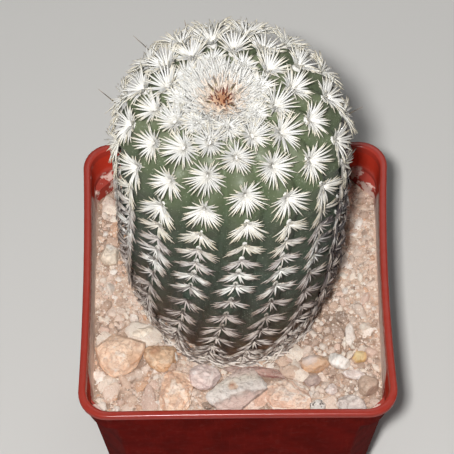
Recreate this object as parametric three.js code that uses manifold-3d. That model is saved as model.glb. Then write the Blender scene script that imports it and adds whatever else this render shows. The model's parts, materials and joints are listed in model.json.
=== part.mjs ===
// A potted echinocereus: a ribbed barrel cactus covered in comb-like clusters of spines, standing
// in a square nursery pot of gritty soil with loose stones on top.
// Millimetres, +Z up. The origin is the middle of the pot's underside, and -Y is the plant's front.
import * as THREE from "three";
import { mergeVertices } from "three/addons/utils/BufferGeometryUtils.js";
import Module from "manifold-3d";

const wasm = await Module();
wasm.setup();

const { PI, sin, cos, tan, min, max, abs, sqrt, hypot } = Math;
const DEG = PI / 180;

// The pot: a 3.5 inch square nursery pot. Each half is from the middle to the outside of a side.
const POT = {
  height: 85,
  rimHalf: 44.5,
  flange: 0.9, // how far the lip stands out from the wall
  lipHeight: 2.2,
  lipRound: 0.6,
  lipStep: 0.4, // height over which the lip stands out from the wall
  lipTuck: 0.15, // how far the lip's lower edge is behind its face
  mouthFlare: [0.42, 1.2], // how far the mouth opens at the rim and 1 mm above it
  draft: 5, // degrees that each wall leans in
  wall: 1.15,
  floor: 1.6,
  footBevel: 0.8,
  ledgeDepth: 10.5, // from the rim down to the top of each corner's ledge
  ledgeSlope: 0.3,
  cornerRadius: 8,
  cut: 8.5, // leg of the flat that cuts each corner below the ledge
  cutRadius: 2,
  bow: [1.2, 0.5, 0.7, 0.2], // how far the right, back, left and front of the rim pull in
  drainRadius: 4,
  drainAt: 22,
  drainSides: 16,
};
const sideShares = [0.25, 0.5, 0.75]; // points along each straight side of an outline
const cornerAngles = [0, 18, 36, 54, 72, 90];

// The soil, which fills the pot up to a level below the rim.
const SOIL = {
  below: 15,
  gap: 0.35, // between the soil and the pot
  cell: 3.4,
  jitter: 0.5, // share of a cell that its corners are scattered over
  relief: 0.75,
  calm: 0.15, // relief under the stones and round the stem
  collar: 4, // width of the calm ring round the stem
  grains: 34,
  grainSize: [1, 1.9],
  grainDepth: [0.75, 1.05], // share of its width
  grainHeight: 0.7, // share of its width
  grainTilt: 0.9,
  grainLift: 0.25,
  grainClear: 0.8,
};

// The stem above the soil, measured to the crests of its ribs.
const STEM = {
  ribs: 16,
  x: -1.3,
  y: 3,
  lean: [0.2, -0.7], // how far the top is from straight above the base
  tipShift: [-2.2, -1.6], // the growing point sits off the axis
  tipPower: 3, // how late in the crown that shift sets in
  baseRadius: 21.5,
  radius: 29.4,
  taper: 40, // height where the full radius is reached
  shoulder: 85, // height where the crown starts to curve in
  height: 109.5,
  ribDepth: 2.9,
  footFade: { from: -6, over: 26 }, // the furrows deepen from the foot
  headFade: { over: 30, power: 0.7 }, // and run out at the growing point
  notch: 0.7, // dip of the crest between two areoles
  dimple: 3.5,
  dimpleRadius: 9,
  turn: [-20.3, 60.5, -29.8], // degrees that the ribs turn, by share of the way up and its square
  root: 5.7, // depth of the root stub
  rootRadius: 20.4,
  holeRadius: 22.2,
  holeDepth: 6,
  holeSides: 32,
};

// The clusters of spines, one at every areole along the crests.
const CLUSTER = {
  steps: 30, // half spacings from the soil to the growing point
  start: 0.3,
  end: 123,
  slowSeason: { at: 63, spread: 9, change: -0.2 },
  quickSeason: { at: 84, spread: 6, change: 0.5 },
  crowding: { share: 0.45, power: 8 }, // how the rows close up towards the growing point
  hub: [1.2, 1.9, 0.7], // half width, half length and height of the areole
  hubShare: [0.2, 0.24], // most of its rib's width and of its row's height that an areole takes
  hubDrop: 0.35, // how far its sides lie below its ends
  spine: 5.6,
  youngSpine: 5, // at the growing point
  spineVary: [0.92, 1.02],
  fanJitter: 0.25, // of the step between two spines
  reach: [4.9, 4.4], // most that a spine reaches across and along its rib
  share: [0.52, 0.46], // of the way to the next cluster, across and along
  rise: [1.5, 2.3], // of the tips over the areole, on the old clusters and on the new
  droop: 1.7, // of the old spines low on the stem
  droopTo: 80,
  many: 10,
  few: 8,
  narrow: 10.8, // width of rib below which a cluster has few spines
  clear: 1.3, // lowest tip above the soil
  tuftRise: [2.7, 3.7],
  tuftRadius: 3.6,
};

// The stones: place, size across, front to back and up, turn in degrees, and how angular each is.
const STONES = [
  { name: "chert_pebble", at: [-33.2, -18.6], size: [13.4, 12, 6], turn: 10, edges: 9, colour: "#c69a72" },
  { name: "brown_pebble", at: [-22.2, -19.4], size: [7.4, 5.8, 4.4], turn: -8, edges: 5, colour: "#a98464" },
  { name: "pale_pebble", at: [-26.9, -11.4], size: [6.8, 3.6, 2.8], turn: 12, edges: 6, colour: "#cdbcaa" },
  { name: "cream_pebble", at: [-37.2, 14.6], size: [5.2, 6.6, 3.8], turn: 8, edges: 5, colour: "#d8c8b0" },
  { name: "orange_pebble", at: [-33.2, 20.6], size: [2.8, 5, 2.6], turn: -12, edges: 5, colour: "#d0a070" },
  { name: "white_chip", at: [-17.9, -18.9], size: [1.6, 3.2, 2.4], turn: 8, edges: 12, colour: "#e6e0d6" },
  { name: "tan_slab", at: [-17.6, -30.4], size: [8.8, 13.2, 3.4], turn: -4, edges: 12, colour: "#c8a68a" },
  { name: "lilac_pebble", at: [-9.4, -26.2], size: [8.4, 7, 4.4], turn: 6, edges: 6, colour: "#c3a9a6" },
  { name: "slate_slab", at: [-0.9, -32], size: [13.8, 9.4, 4.2], turn: 14, edges: 14, colour: "#b0aba2" },
  { name: "red_sliver", at: [7.2, -25.3], size: [12.6, 2, 1.8], turn: -9, edges: 10, colour: "#a86656" },
  { name: "pink_slab", at: [13.8, -32.4], size: [13, 8.6, 3.4], turn: 6, edges: 13, colour: "#cba48e" },
  { name: "spotted_pebble", at: [22.6, -35.4], size: [4.2, 3.3, 3.6], turn: 0, edges: 5, colour: "#e2dcd2" },
  { name: "orange_stone", at: [22.3, -22], size: [6.8, 4.2, 3.4], turn: -6, edges: 7, colour: "#cf9c72" },
  { name: "mauve_stone", at: [21.4, -27], size: [4.6, 3.2, 2.4], turn: 4, edges: 7, colour: "#9e8c8c" },
  { name: "quartz_chip", at: [29.1, -21.3], size: [4.8, 3.2, 3.4], turn: -22, edges: 13, colour: "#ece6dc" },
  { name: "amber_pebble", at: [35, -19.8], size: [4, 3.4, 2.8], turn: 5, edges: 6, colour: "#cf9a5e" },
  { name: "flat_chip", at: [33.2, -25], size: [5.8, 2.8, 1.8], turn: -10, edges: 12, colour: "#e0cfc4" },
  { name: "round_stone", at: [37.2, -29.2], size: [4.8, 4.6, 3.8], turn: 0, edges: 5, colour: "#8f7764" },
  { name: "blush_pebble", at: [26.6, -30], size: [3.2, 3.2, 2.8], turn: 15, edges: 6, colour: "#dcbcb0" },
  { name: "grey_stone", at: [32.2, -34.8], size: [8, 4.6, 4.2], turn: -4, edges: 9, colour: "#c0bab4" },
  { name: "back_tan_stone", at: [-20, 33.2], size: [9, 6.4, 4], turn: 20, edges: 8, colour: "#c29c7a" },
  { name: "back_grey_stone", at: [-8, 36.4], size: [6, 4.4, 3], turn: -10, edges: 9, colour: "#b3aca4" },
  { name: "back_pink_stone", at: [6, 35], size: [8, 5.4, 3.4], turn: 12, edges: 11, colour: "#cba794" },
  { name: "back_pale_stone", at: [19, 34], size: [7.4, 5.8, 4], turn: -18, edges: 7, colour: "#d4c4b2" },
  { name: "back_red_stone", at: [28.4, 30.4], size: [5, 4, 3], turn: 30, edges: 8, colour: "#ad7460" },
];
const STONE = {
  fineArea: 100, // stones that cover more than this have smaller faces
  seat: 0.3, // clearance above the soil's highest point under the stone
  flat: 0.5, // share of the lower half that the flat underside leaves
  facets: 13,
  spread: 0.24, // how much the facets differ in their distance from the middle
  nudge: [0.12, 0.7], // how far each facet's height and angle stray
  apron: 0.7, // soil kept calm round each stone, past one cell
};

const soilLevel = POT.height - SOIL.below;

// A seeded random source, so that every build is the same.
function randomFrom(seed) {
  let state = seed >>> 0;
  return () => {
    state = (state + 0x6d2b79f5) >>> 0;
    let t = Math.imul(state ^ (state >>> 15), 1 | state);
    t = (t + Math.imul(t ^ (t >>> 7), 61 | t)) ^ t;
    return ((t ^ (t >>> 14)) >>> 0) / 2 ** 32;
  };
}

const between = ([low, high], share) => low + (high - low) * share;

// A closed surface that is put together point by point and face by face.
class Skin {
  points = [];
  faces = [];
  point(x, y, z) {
    this.points.push(x, y, z);
    return this.points.length / 3 - 1;
  }
  vector(v) {
    return this.point(v.x, v.y, v.z);
  }
  face(...corners) {
    for (let i = 2; i < corners.length; i++) this.faces.push(corners[0], corners[i - 1], corners[i]);
  }
  // A band of faces between two loops of the same length.
  band(low, high) {
    low.forEach((a, i) => {
      const j = (i + 1) % low.length;
      this.face(a, low[j], high[j]);
      this.face(a, high[j], high[i]);
    });
  }
  geometry() {
    const made = new THREE.BufferGeometry();
    made.setAttribute("position", new THREE.Float32BufferAttribute(this.points, 3));
    made.setIndex(this.faces);
    return made;
  }
}

function solidOf(geometry) {
  const bare = geometry.clone();
  bare.deleteAttribute("normal");
  bare.deleteAttribute("uv");
  const merged = mergeVertices(bare, 1e-3);
  const vertProperties = new Float32Array(merged.attributes.position.array);
  const triVerts = new Uint32Array(merged.index.array);
  return new wasm.Manifold(new wasm.Mesh({ numProp: 3, vertProperties, triVerts }));
}

function geometryOf(solid) {
  const mesh = solid.getMesh();
  const made = new THREE.BufferGeometry();
  made.setAttribute("position", new THREE.BufferAttribute(new Float32Array(mesh.vertProperties), 3));
  made.setIndex(new THREE.BufferAttribute(new Uint32Array(mesh.triVerts), 1));
  return made;
}

// Pot: level outlines, skinned into an outer and an inner form.

// One outline at a height. The spread is how far each arc's middle is from the side's line: equal to
// the radius on a round corner, and more where the corner is cut flat.
function outline({ z, half, radius, spread, bow = 0 }) {
  const ring = [];
  const straight = half - spread;
  for (let side = 0; side < 4; side++) {
    const local = [];
    for (const t of sideShares) {
      const pull = POT.bow[side] * bow * (1 - (2 * t - 1) ** 2);
      local.push([half - pull, straight * (2 * t - 1)]);
    }
    for (const angle of cornerAngles) {
      const [cx, cy] = angle < 45 ? [half - radius, half - spread] : [half - spread, half - radius];
      local.push([cx + radius * cos(angle * DEG), cy + radius * sin(angle * DEG)]);
    }
    const turn = (side * PI) / 2;
    for (const [x, y] of local) {
      ring.push([x * cos(turn) - y * sin(turn), x * sin(turn) + y * cos(turn), z]);
    }
  }
  return ring;
}

// Round and cut corners for a form that is a given distance inside the pot's outer face.
const roundCorner = (inset) => ({ radius: POT.cornerRadius - inset, spread: POT.cornerRadius - inset });
const cutCorner = (inset) => ({
  radius: POT.cutRadius,
  spread: POT.cut - inset * (2 - sqrt(2)) + POT.cutRadius * tan(22.5 * DEG),
});

function loft(outlines) {
  const skin = new Skin();
  const rings = outlines.map((shape) => outline(shape).map((p) => skin.point(...p)));
  for (let i = 1; i < rings.length; i++) skin.band(rings[i - 1], rings[i]);
  const foot = skin.point(0, 0, outlines[0].z);
  const head = skin.point(0, 0, outlines.at(-1).z);
  rings[0].forEach((a, i) => skin.face(foot, rings[0][(i + 1) % rings[0].length], a));
  rings.at(-1).forEach((a, i) => skin.face(head, a, rings.at(-1)[(i + 1) % rings[0].length]));
  return solidOf(skin.geometry());
}

// The outer face's half width at a height, below the lip.
const wallHalf = (z) => POT.rimHalf - POT.flange - (POT.height - z) * tan(POT.draft * DEG);
// The rim is pulled in at the middle of each side, and less further down.
const bowAt = (z) => max(0, (z - soilLevel) / SOIL.below);

function makePot() {
  const ledge = POT.height - POT.ledgeDepth;
  const under = ledge - POT.wall;
  const lip = POT.height - POT.lipHeight;
  const wallAt = (z, corner, inset = 0) => {
    return { z, half: wallHalf(z) - inset, bow: bowAt(z), ...corner(inset) };
  };
  const outer = loft([
    { ...wallAt(0, cutCorner), half: wallHalf(0) - POT.footBevel },
    wallAt(POT.footBevel, cutCorner),
    wallAt(under, cutCorner),
    wallAt(under + POT.ledgeSlope, roundCorner),
    wallAt(lip - POT.lipStep / 2, roundCorner),
    { ...wallAt(lip + POT.lipStep / 2, roundCorner), half: POT.rimHalf - POT.lipTuck },
    { ...wallAt(POT.height - POT.lipRound, roundCorner), half: POT.rimHalf },
    { ...wallAt(POT.height, roundCorner), half: POT.rimHalf - POT.lipRound },
  ]);
  const mouth = POT.rimHalf - POT.flange - POT.wall;
  const inner = loft([
    wallAt(POT.floor, cutCorner, POT.wall),
    wallAt(ledge - POT.ledgeSlope, cutCorner, POT.wall),
    wallAt(ledge, roundCorner, POT.wall),
    wallAt(POT.height - POT.lipRound, roundCorner, POT.wall),
    { ...wallAt(POT.height, roundCorner, POT.wall), half: mouth + POT.mouthFlare[0] },
    { ...wallAt(POT.height + 1, roundCorner, POT.wall), half: mouth + POT.mouthFlare[1] },
  ]);
  let pot = outer.subtract(inner);
  const hole = new THREE.CylinderGeometry(POT.drainRadius, POT.drainRadius, POT.floor * 4, POT.drainSides);
  hole.rotateX(PI / 2);
  for (const x of [-POT.drainAt, POT.drainAt]) {
    for (const y of [-POT.drainAt, POT.drainAt]) {
      pot = pot.subtract(solidOf(hole.clone().translate(x, y, 0)));
    }
  }
  return geometryOf(pot);
}

// Stones: a ball pressed against seeded facets, with a flat underside to lie on.

function makeStone({ at, size, turn, edges }, seed) {
  const random = randomFrom(seed);
  const facets = Array.from({ length: STONE.facets }, (_, i) => {
    // Even directions over a ball, nudged so that no two stones are alike.
    const height = 1 - (2 * i + 1) / STONE.facets + (random() - 0.5) * STONE.nudge[0];
    const around = i * PI * (3 - sqrt(5)) + random() * STONE.nudge[1];
    const flat = sqrt(1 - height * height);
    const away = 1 - STONE.spread * random();
    return { normal: new THREE.Vector3(flat * cos(around), flat * sin(around), height), away };
  });
  const ball = mergeVertices(bareBall(size[0] * size[1] > STONE.fineArea ? 2 : 1), 1e-3);
  const place = ball.attributes.position;
  const point = new THREE.Vector3();
  for (let i = 0; i < place.count; i++) {
    point.fromBufferAttribute(place, i).normalize();
    const pressed = facets.reduce((sum, f) => sum + (max(0, point.dot(f.normal)) / f.away) ** edges, 0);
    point.multiplyScalar(pressed ** (-1 / edges));
    place.setXYZ(i, point.x, point.y, point.z);
  }
  // Stretched to its exact size, with the underside cut flat.
  ball.center();
  const span = ball.boundingBox.getSize(new THREE.Vector3());
  const floor = (-span.z / 2) * STONE.flat;
  for (let i = 0; i < place.count; i++) {
    if (place.getZ(i) < floor) place.setXYZ(i, place.getX(i), place.getY(i), floor);
  }
  ball.translate(0, 0, -floor);
  ball.scale(size[0] / span.x, size[1] / span.y, size[2] / (span.z / 2 - floor));
  ball.rotateZ(turn * DEG);
  ball.translate(at[0], at[1], soilLevel + SOIL.calm + STONE.seat);
  return ball;
}

function bareBall(detail) {
  const ball = new THREE.IcosahedronGeometry(1, detail);
  ball.deleteAttribute("normal");
  ball.deleteAttribute("uv");
  return ball;
}

// Soil: a bumpy top inside the pot's form, grains half sunk in it, and the stem's hole.

// How far a place is from the nearest stone's edge or from the stem's hole, roughly.
function freeSpace(x, y) {
  let free = hypot(x - STEM.x, y - STEM.y) - STEM.holeRadius - SOIL.collar;
  for (const { at, size, turn } of STONES) {
    const a = -turn * DEG;
    const dx = (x - at[0]) * cos(a) - (y - at[1]) * sin(a);
    const dy = (x - at[0]) * sin(a) + (y - at[1]) * cos(a);
    const away = hypot(dx / (size[0] / 2), dy / (size[1] / 2)) - 1;
    free = min(free, (away * min(size[0], size[1])) / 2);
  }
  return free;
}

function makeSoil() {
  const random = randomFrom(41);
  const cells = 2 * Math.ceil(POT.rimHalf / SOIL.cell);
  const skin = new Skin();
  const grid = [];
  const span = (cells / 2) * SOIL.cell;
  for (let j = 0; j <= cells; j++) {
    const row = [];
    for (let i = 0; i <= cells; i++) {
      const x = i * SOIL.cell - span + (random() - 0.5) * SOIL.cell * SOIL.jitter;
      const y = j * SOIL.cell - span + (random() - 0.5) * SOIL.cell * SOIL.jitter;
      const calm = freeSpace(x, y) < SOIL.cell + STONE.apron;
      const bump = (random() * 2 - 1) * (calm ? SOIL.calm : SOIL.relief);
      row.push(skin.point(x, y, soilLevel + bump));
    }
    grid.push(row);
  }
  for (let j = 0; j < cells; j++) {
    for (let i = 0; i < cells; i++) {
      const [a, b, c, d] = [grid[j][i], grid[j][i + 1], grid[j + 1][i + 1], grid[j + 1][i]];
      if ((i + j) % 2) skin.face(a, b, c, d);
      else skin.face(b, c, d, a);
    }
  }
  // The block's underside follows its edge straight down.
  const edge = [
    ...grid[0].slice(0, -1),
    ...grid.slice(0, -1).map((row) => row.at(-1)),
    ...grid.at(-1).slice(1).reverse(),
    ...grid.slice(1).map((row) => row[0]).reverse(),
  ];
  const low = -1;
  const foot = edge.map((i) => skin.point(skin.points[3 * i], skin.points[3 * i + 1], low));
  skin.band(foot, edge);
  const middle = skin.point(0, 0, low);
  foot.forEach((a, i) => skin.face(middle, foot[(i + 1) % foot.length], a));

  const inset = POT.wall + SOIL.gap;
  const fillAt = (z) => ({ z, half: wallHalf(z) - inset, bow: bowAt(z), ...cutCorner(inset) });
  const fill = loft([fillAt(POT.floor + SOIL.gap), fillAt(soilLevel), fillAt(POT.height)]);
  let soil = fill.intersect(solidOf(skin.geometry()));

  // Grains lie all over, and off the stones and the stem.
  const reach = wallHalf(soilLevel) - inset - POT.cutRadius;
  let placed = 0;
  while (placed < SOIL.grains) {
    const [x, y] = [(random() * 2 - 1) * reach, (random() * 2 - 1) * reach];
    const size = between(SOIL.grainSize, random());
    const corner = abs(x) + abs(y) > 2 * reach - POT.cut - size;
    if (corner || freeSpace(x, y) < size + SOIL.grainClear) continue;
    const grain = new THREE.OctahedronGeometry(size);
    grain.scale(1, between(SOIL.grainDepth, random()), SOIL.grainHeight);
    grain.rotateX((random() - 0.5) * SOIL.grainTilt).rotateZ(random() * PI);
    grain.translate(x, y, soilLevel + SOIL.grainLift);
    soil = soil.add(solidOf(grain));
    placed++;
  }
  const { holeRadius, holeDepth, holeSides } = STEM;
  const hole = new THREE.CylinderGeometry(holeRadius, holeRadius, 2 * holeDepth, holeSides);
  hole.rotateX(PI / 2).translate(STEM.x, STEM.y, soilLevel);
  return geometryOf(soil.subtract(solidOf(hole)));
}

// Cactus: cells along each rib, each a raised areole whose faces draw out into spines.

// The crest's profile, as radius and height above the soil.
const profile = new THREE.Path()
  .moveTo(STEM.baseRadius, 0)
  .quadraticCurveTo(STEM.radius, STEM.taper / 2, STEM.radius, STEM.taper)
  .lineTo(STEM.radius, STEM.shoulder)
  .absellipse(0, STEM.shoulder, STEM.radius, STEM.height - STEM.shoulder, 0, PI / 2, false);
const profileLength = profile.getLength();

// Radius and height at a distance along the crest, with the sunken growing point.
function crestAt(along) {
  const at = profile.getPoint(max(0, min(1, along / profileLength)));
  const dip = at.y > STEM.shoulder ? max(0, 1 - (at.x / STEM.dimpleRadius) ** 2) : 0;
  return { radius: at.x, height: at.y - STEM.dimple * dip };
}

// How far up the crown a height is, from 0 at the shoulder to 1 at the top.
const crownShare = (height) => max(0, (height - STEM.shoulder) / (STEM.height - STEM.shoulder));

// A point of the stem and its directions across, along and out of the rib. The angle is in degrees
// from the front, towards +X.
function frameAt(along, angle) {
  const share = along / profileLength;
  const turned = (angle + STEM.turn[0] + STEM.turn[1] * share + STEM.turn[2] * share ** 2) * DEG;
  const here = crestAt(along);
  const [before, after] = [-0.5, 0.5].map((away) => crestAt(along + away));
  const run = hypot(after.radius - before.radius, after.height - before.height);
  const [outward, upward] = [(after.radius - before.radius) / run, (after.height - before.height) / run];
  const away = new THREE.Vector3(sin(turned), -cos(turned), 0);
  const across = new THREE.Vector3(cos(turned), sin(turned), 0);
  const up = away.clone().multiplyScalar(outward).setZ(upward);
  const out = away.clone().multiplyScalar(upward).setZ(-outward);
  const leant = here.height / STEM.height;
  const shifted = crownShare(here.height) ** STEM.tipPower;
  const origin = new THREE.Vector3(
    STEM.x + STEM.lean[0] * leant + STEM.tipShift[0] * shifted,
    STEM.y + STEM.lean[1] * leant + STEM.tipShift[1] * shifted,
    soilLevel + here.height,
  ).addScaledVector(away, here.radius);
  // The rib's own direction follows the turn.
  const slant = (STEM.turn[1] + 2 * STEM.turn[2] * share) * DEG * (here.radius / profileLength);
  const rib = up.clone().addScaledVector(across, slant).normalize();
  return { origin, across, rib, out, width: (2 * PI * here.radius) / STEM.ribs, height: here.height };
}

// Distances of the rows up the stem: even half spacings, closer and wider by season.
function rowDistances() {
  const season = ({ at, spread, change }, s) => change * Math.exp(-(((s - at) / spread) ** 2));
  const paces = [];
  let s = CLUSTER.start;
  for (let i = 0; i < CLUSTER.steps; i++) {
    const crowded = CLUSTER.crowding.share * (s / CLUSTER.end) ** CLUSTER.crowding.power;
    const pace = 1 + season(CLUSTER.slowSeason, s) + season(CLUSTER.quickSeason, s) - crowded;
    paces.push(pace);
    s += (CLUSTER.end / CLUSTER.steps) * pace;
  }
  const scale = (CLUSTER.end - CLUSTER.start) / paces.reduce((sum, pace) => sum + pace, 0);
  return paces.reduce((rows, pace) => [...rows, rows.at(-1) + pace * scale], [CLUSTER.start]);
}

function makeCactus() {
  const random = randomFrom(7);
  const skin = new Skin();
  const rows = rowDistances();
  const last = rows.length - 1;
  const step = 360 / STEM.ribs;
  const { footFade, headFade } = STEM;
  const depthAt = (s) => {
    const foot = min(1, (s - footFade.from) / footFade.over);
    const head = min(1, (profileLength - s) / headFade.over) ** headFade.power;
    return STEM.ribDepth * foot * head;
  };

  const sunk = (s, angle, depth) => {
    const { origin, out } = frameAt(s, angle);
    return skin.vector(origin.clone().addScaledVector(out, -depth));
  };
  // valley[k] runs between rib k - 1 and rib k. crest[k] holds the points between its clusters.
  const valley = [];
  const crest = [];
  const hasCluster = (k, m) => m > 0 && m < last && m % 2 !== k % 2;
  for (let k = 0; k < STEM.ribs; k++) {
    valley.push(rows.map((s) => sunk(s, (k - 0.5) * step, depthAt(s))));
    crest.push(rows.map((s, m) => (hasCluster(k, m) ? null : sunk(s, k * step, m ? STEM.notch : 0))));
  }

  // One cell: the areole on the crest, its spines, and the flanks down to both valleys.
  function cell(k, m) {
    const right = valley[(k + 1) % STEM.ribs];
    const left = valley[k];
    const above = [right[m], right[m + 1], crest[k][m + 1], left[m + 1]];
    const rim = [...above, left[m], left[m - 1], crest[k][m - 1], right[m - 1]];
    const { origin, across, rib, out, width, height } = frameAt(rows[m], k * step);
    const gap = rows[m + 1] - rows[m - 1];
    const place = (a, b, c) =>
      origin.clone().addScaledVector(across, a).addScaledVector(rib, b).addScaledVector(out, c);
    const count = width < CLUSTER.narrow ? CLUSTER.few : CLUSTER.many;
    const room = [width, gap];
    const hub = room.map((span, axis) => min(CLUSTER.hub[axis], span * CLUSTER.hubShare[axis]));
    const top = skin.vector(place(0, 0, CLUSTER.hub[2]));
    const ring = Array.from({ length: count }, (_, i) => {
      const a = (i / count) * 2 * PI;
      return skin.vector(place(hub[0] * cos(a), hub[1] * sin(a), -CLUSTER.hubDrop * abs(cos(a))));
    });
    // The flanks, zipped together from the cell's rim and the areole's ring.
    let [i, j] = [0, 0];
    while (i < rim.length || j < count) {
      const inner = ring[j % count];
      const outer = rim[i % rim.length];
      if (j >= count || (i < rim.length && (i + 1) / rim.length <= (j + 1) / count)) {
        skin.face(outer, rim[++i % rim.length], inner);
      } else {
        skin.face(inner, outer, ring[++j % count]);
      }
    }
    // Each of the areole's faces draws out into one spine.
    const old = max(0, 1 - rows[m] / CLUSTER.droopTo);
    const lowest = between(CLUSTER.rise, 1 - old);
    const longest = between([CLUSTER.spine, CLUSTER.youngSpine], crownShare(height));
    const reach = room.map((span, axis) => min(CLUSTER.reach[axis], span * CLUSTER.share[axis]));
    for (let n = 0; n < count; n++) {
      const a = ((n + 0.5 + (random() - 0.5) * CLUSTER.fanJitter) / count) * 2 * PI;
      const length = longest * between(CLUSTER.spineVary, random());
      const x = reach[0] * cos(a);
      const y = max(reach[1] * sin(a) - CLUSTER.droop * old * abs(cos(a)), -reach[1]);
      const rise = sqrt(max(lowest ** 2, length ** 2 - x ** 2 - y ** 2));
      const tip = place(x, y, rise);
      tip.z = max(tip.z, soilLevel + CLUSTER.clear);
      const end = skin.vector(tip);
      const [from, to] = [ring[n], ring[(n + 1) % count]];
      skin.face(from, to, end);
      skin.face(to, top, end);
      skin.face(top, from, end);
    }
  }

  for (let k = 0; k < STEM.ribs; k++) {
    const right = valley[(k + 1) % STEM.ribs];
    const left = valley[k];
    const mid = crest[k];
    for (let m = 1; m < last; m++) if (hasCluster(k, m)) cell(k, m);
    // Every second rib has half a cell over at its foot or its head.
    for (const m of [0, last - 1]) {
      if (mid[m] === null || mid[m + 1] === null) continue;
      skin.face(left[m], mid[m], mid[m + 1], left[m + 1]);
      skin.face(mid[m], right[m], right[m + 1], mid[m + 1]);
    }
  }

  // The root stub closes the foot.
  const foot = [];
  for (let k = 0; k < STEM.ribs; k++) foot.push(valley[k][0], crest[k][0]);
  const stub = foot.map((i) => {
    const [x, y] = [skin.points[3 * i] - STEM.x, skin.points[3 * i + 1] - STEM.y];
    const scale = STEM.rootRadius / hypot(x, y);
    return skin.point(STEM.x + x * scale, STEM.y + y * scale, soilLevel - STEM.root);
  });
  skin.band(stub, foot);
  const under = skin.point(STEM.x, STEM.y, soilLevel - STEM.root);
  stub.forEach((a, i) => skin.face(under, stub[(i + 1) % stub.length], a));

  // The tuft over the growing point: one short spine from each rib.
  const middle = frameAt(profileLength, 0).origin;
  const centre = skin.vector(middle);
  for (let k = 0; k < STEM.ribs; k++) {
    const [a, b, c] = [valley[k][last], crest[k][last], valley[(k + 1) % STEM.ribs][last]];
    const tip = new THREE.Vector3().fromArray(skin.points, 3 * b).sub(middle);
    tip.setZ(0).setLength(CLUSTER.tuftRadius).setZ(between(CLUSTER.tuftRise, random())).add(middle);
    const end = skin.vector(tip);
    skin.face(a, b, end);
    skin.face(b, c, end);
    skin.face(c, centre, end);
    skin.face(centre, a, end);
  }
  return skin.geometry();
}

function part(name, geometry, color, roughness) {
  const material = new THREE.MeshStandardMaterial({ color, roughness, metalness: 0, flatShading: true });
  const mesh = new THREE.Mesh(geometry, material);
  mesh.name = name;
  return mesh;
}

const plant = new THREE.Group();
plant.add(part("pot", makePot(), "#8e231a", 0.35));
plant.add(part("soil", makeSoil(), "#c9a78c", 0.95));
plant.add(part("cactus", makeCactus(), "#aab09c", 0.6));
STONES.forEach((stone, i) => plant.add(part(stone.name, makeStone(stone, 100 + i), stone.colour, 0.8)));

export default plant;
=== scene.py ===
import json
import random
from bisect import bisect_left
from math import atan2, cos, exp, hypot, pi, radians, sin, sqrt, tan

import bmesh
import bpy
from mathutils import Color, Euler, Matrix, Vector, noise


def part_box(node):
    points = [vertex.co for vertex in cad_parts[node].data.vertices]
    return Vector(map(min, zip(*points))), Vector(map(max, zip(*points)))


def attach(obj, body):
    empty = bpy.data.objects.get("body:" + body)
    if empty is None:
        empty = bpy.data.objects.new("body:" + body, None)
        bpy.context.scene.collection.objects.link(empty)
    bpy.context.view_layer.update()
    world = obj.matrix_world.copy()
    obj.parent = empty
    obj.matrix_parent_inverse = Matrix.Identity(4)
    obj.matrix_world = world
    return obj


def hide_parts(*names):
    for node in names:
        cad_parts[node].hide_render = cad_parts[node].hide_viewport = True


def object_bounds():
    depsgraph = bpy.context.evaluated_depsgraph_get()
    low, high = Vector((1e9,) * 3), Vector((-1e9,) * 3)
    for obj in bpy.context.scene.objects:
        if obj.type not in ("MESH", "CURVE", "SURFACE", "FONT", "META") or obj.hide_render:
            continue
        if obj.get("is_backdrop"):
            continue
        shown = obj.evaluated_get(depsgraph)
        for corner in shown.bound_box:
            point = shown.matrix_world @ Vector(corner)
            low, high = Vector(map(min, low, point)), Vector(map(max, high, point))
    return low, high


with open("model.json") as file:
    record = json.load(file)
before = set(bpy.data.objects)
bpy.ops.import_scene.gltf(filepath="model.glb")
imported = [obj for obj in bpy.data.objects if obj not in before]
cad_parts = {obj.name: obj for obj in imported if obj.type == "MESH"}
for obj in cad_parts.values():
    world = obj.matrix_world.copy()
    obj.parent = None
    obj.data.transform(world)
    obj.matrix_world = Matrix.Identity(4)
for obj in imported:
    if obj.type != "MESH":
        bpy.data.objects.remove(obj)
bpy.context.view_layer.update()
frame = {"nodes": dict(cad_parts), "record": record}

mm = 0.001
soilLevel = 70
batch = 100  # small shapes poured into a big mesh at a time, because one by one is slow
goldenTurn = 137.5
scene = bpy.context.scene


def between(low, high, share):
    return low + (high - low) * share


def easeIn(low, high, value):  # 0 below low, 1 above high, smooth in between
    share = max(0.0, min(1.0, (value - low) / (high - low)))
    return share * share * (3 - 2 * share)


def paint(code):  # a colour for a shader from its usual six-digit code
    channels = [int(code[i:i + 2], 16) / 255 for i in (0, 2, 4)]
    return (*Color(channels).from_srgb_to_scene_linear(), 1.0)


def toward(azimuth, elevation=0.0):  # from the front towards the right, and up, in radians
    level = cos(elevation)
    return Vector((sin(azimuth) * level, -cos(azimuth) * level, sin(elevation)))


def metres(values):
    return [value * mm for value in values]


def anyWay(seeded):
    return Vector((seeded.gauss(0, 1), seeded.gauss(0, 1), seeded.gauss(0, 1)))


# Mesh helpers

def newLayers(bm, *names):
    return [bm.verts.layers.float.new(name) for name in names]


def extent(bm):  # lowest and highest corner
    return [Vector(pick(vert.co[i] for vert in bm.verts) for i in range(3)) for pick in (min, max)]


def toMesh(bm, name):
    mesh = bpy.data.meshes.new(name)
    bm.to_mesh(mesh)
    bm.free()
    return mesh


def addShape(bm, shape):  # a copy of a mesh, of which it gives the vertices
    bm.from_mesh(shape)
    bm.verts.ensure_lookup_table()
    return bm.verts[-len(shape.vertices):]


def pour(part, whole):
    mesh = toMesh(part, "part")
    whole.from_mesh(mesh)
    bpy.data.meshes.remove(mesh)


def pourBatches(whole, items, addItem, *layerNames):  # adds every item, a batch at a time
    for start in range(0, len(items), batch):
        part = bmesh.new()
        layers = newLayers(part, *layerNames)
        for item in items[start:start + batch]:
            addItem(part, layers, item)
        pour(part, whole)


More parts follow.
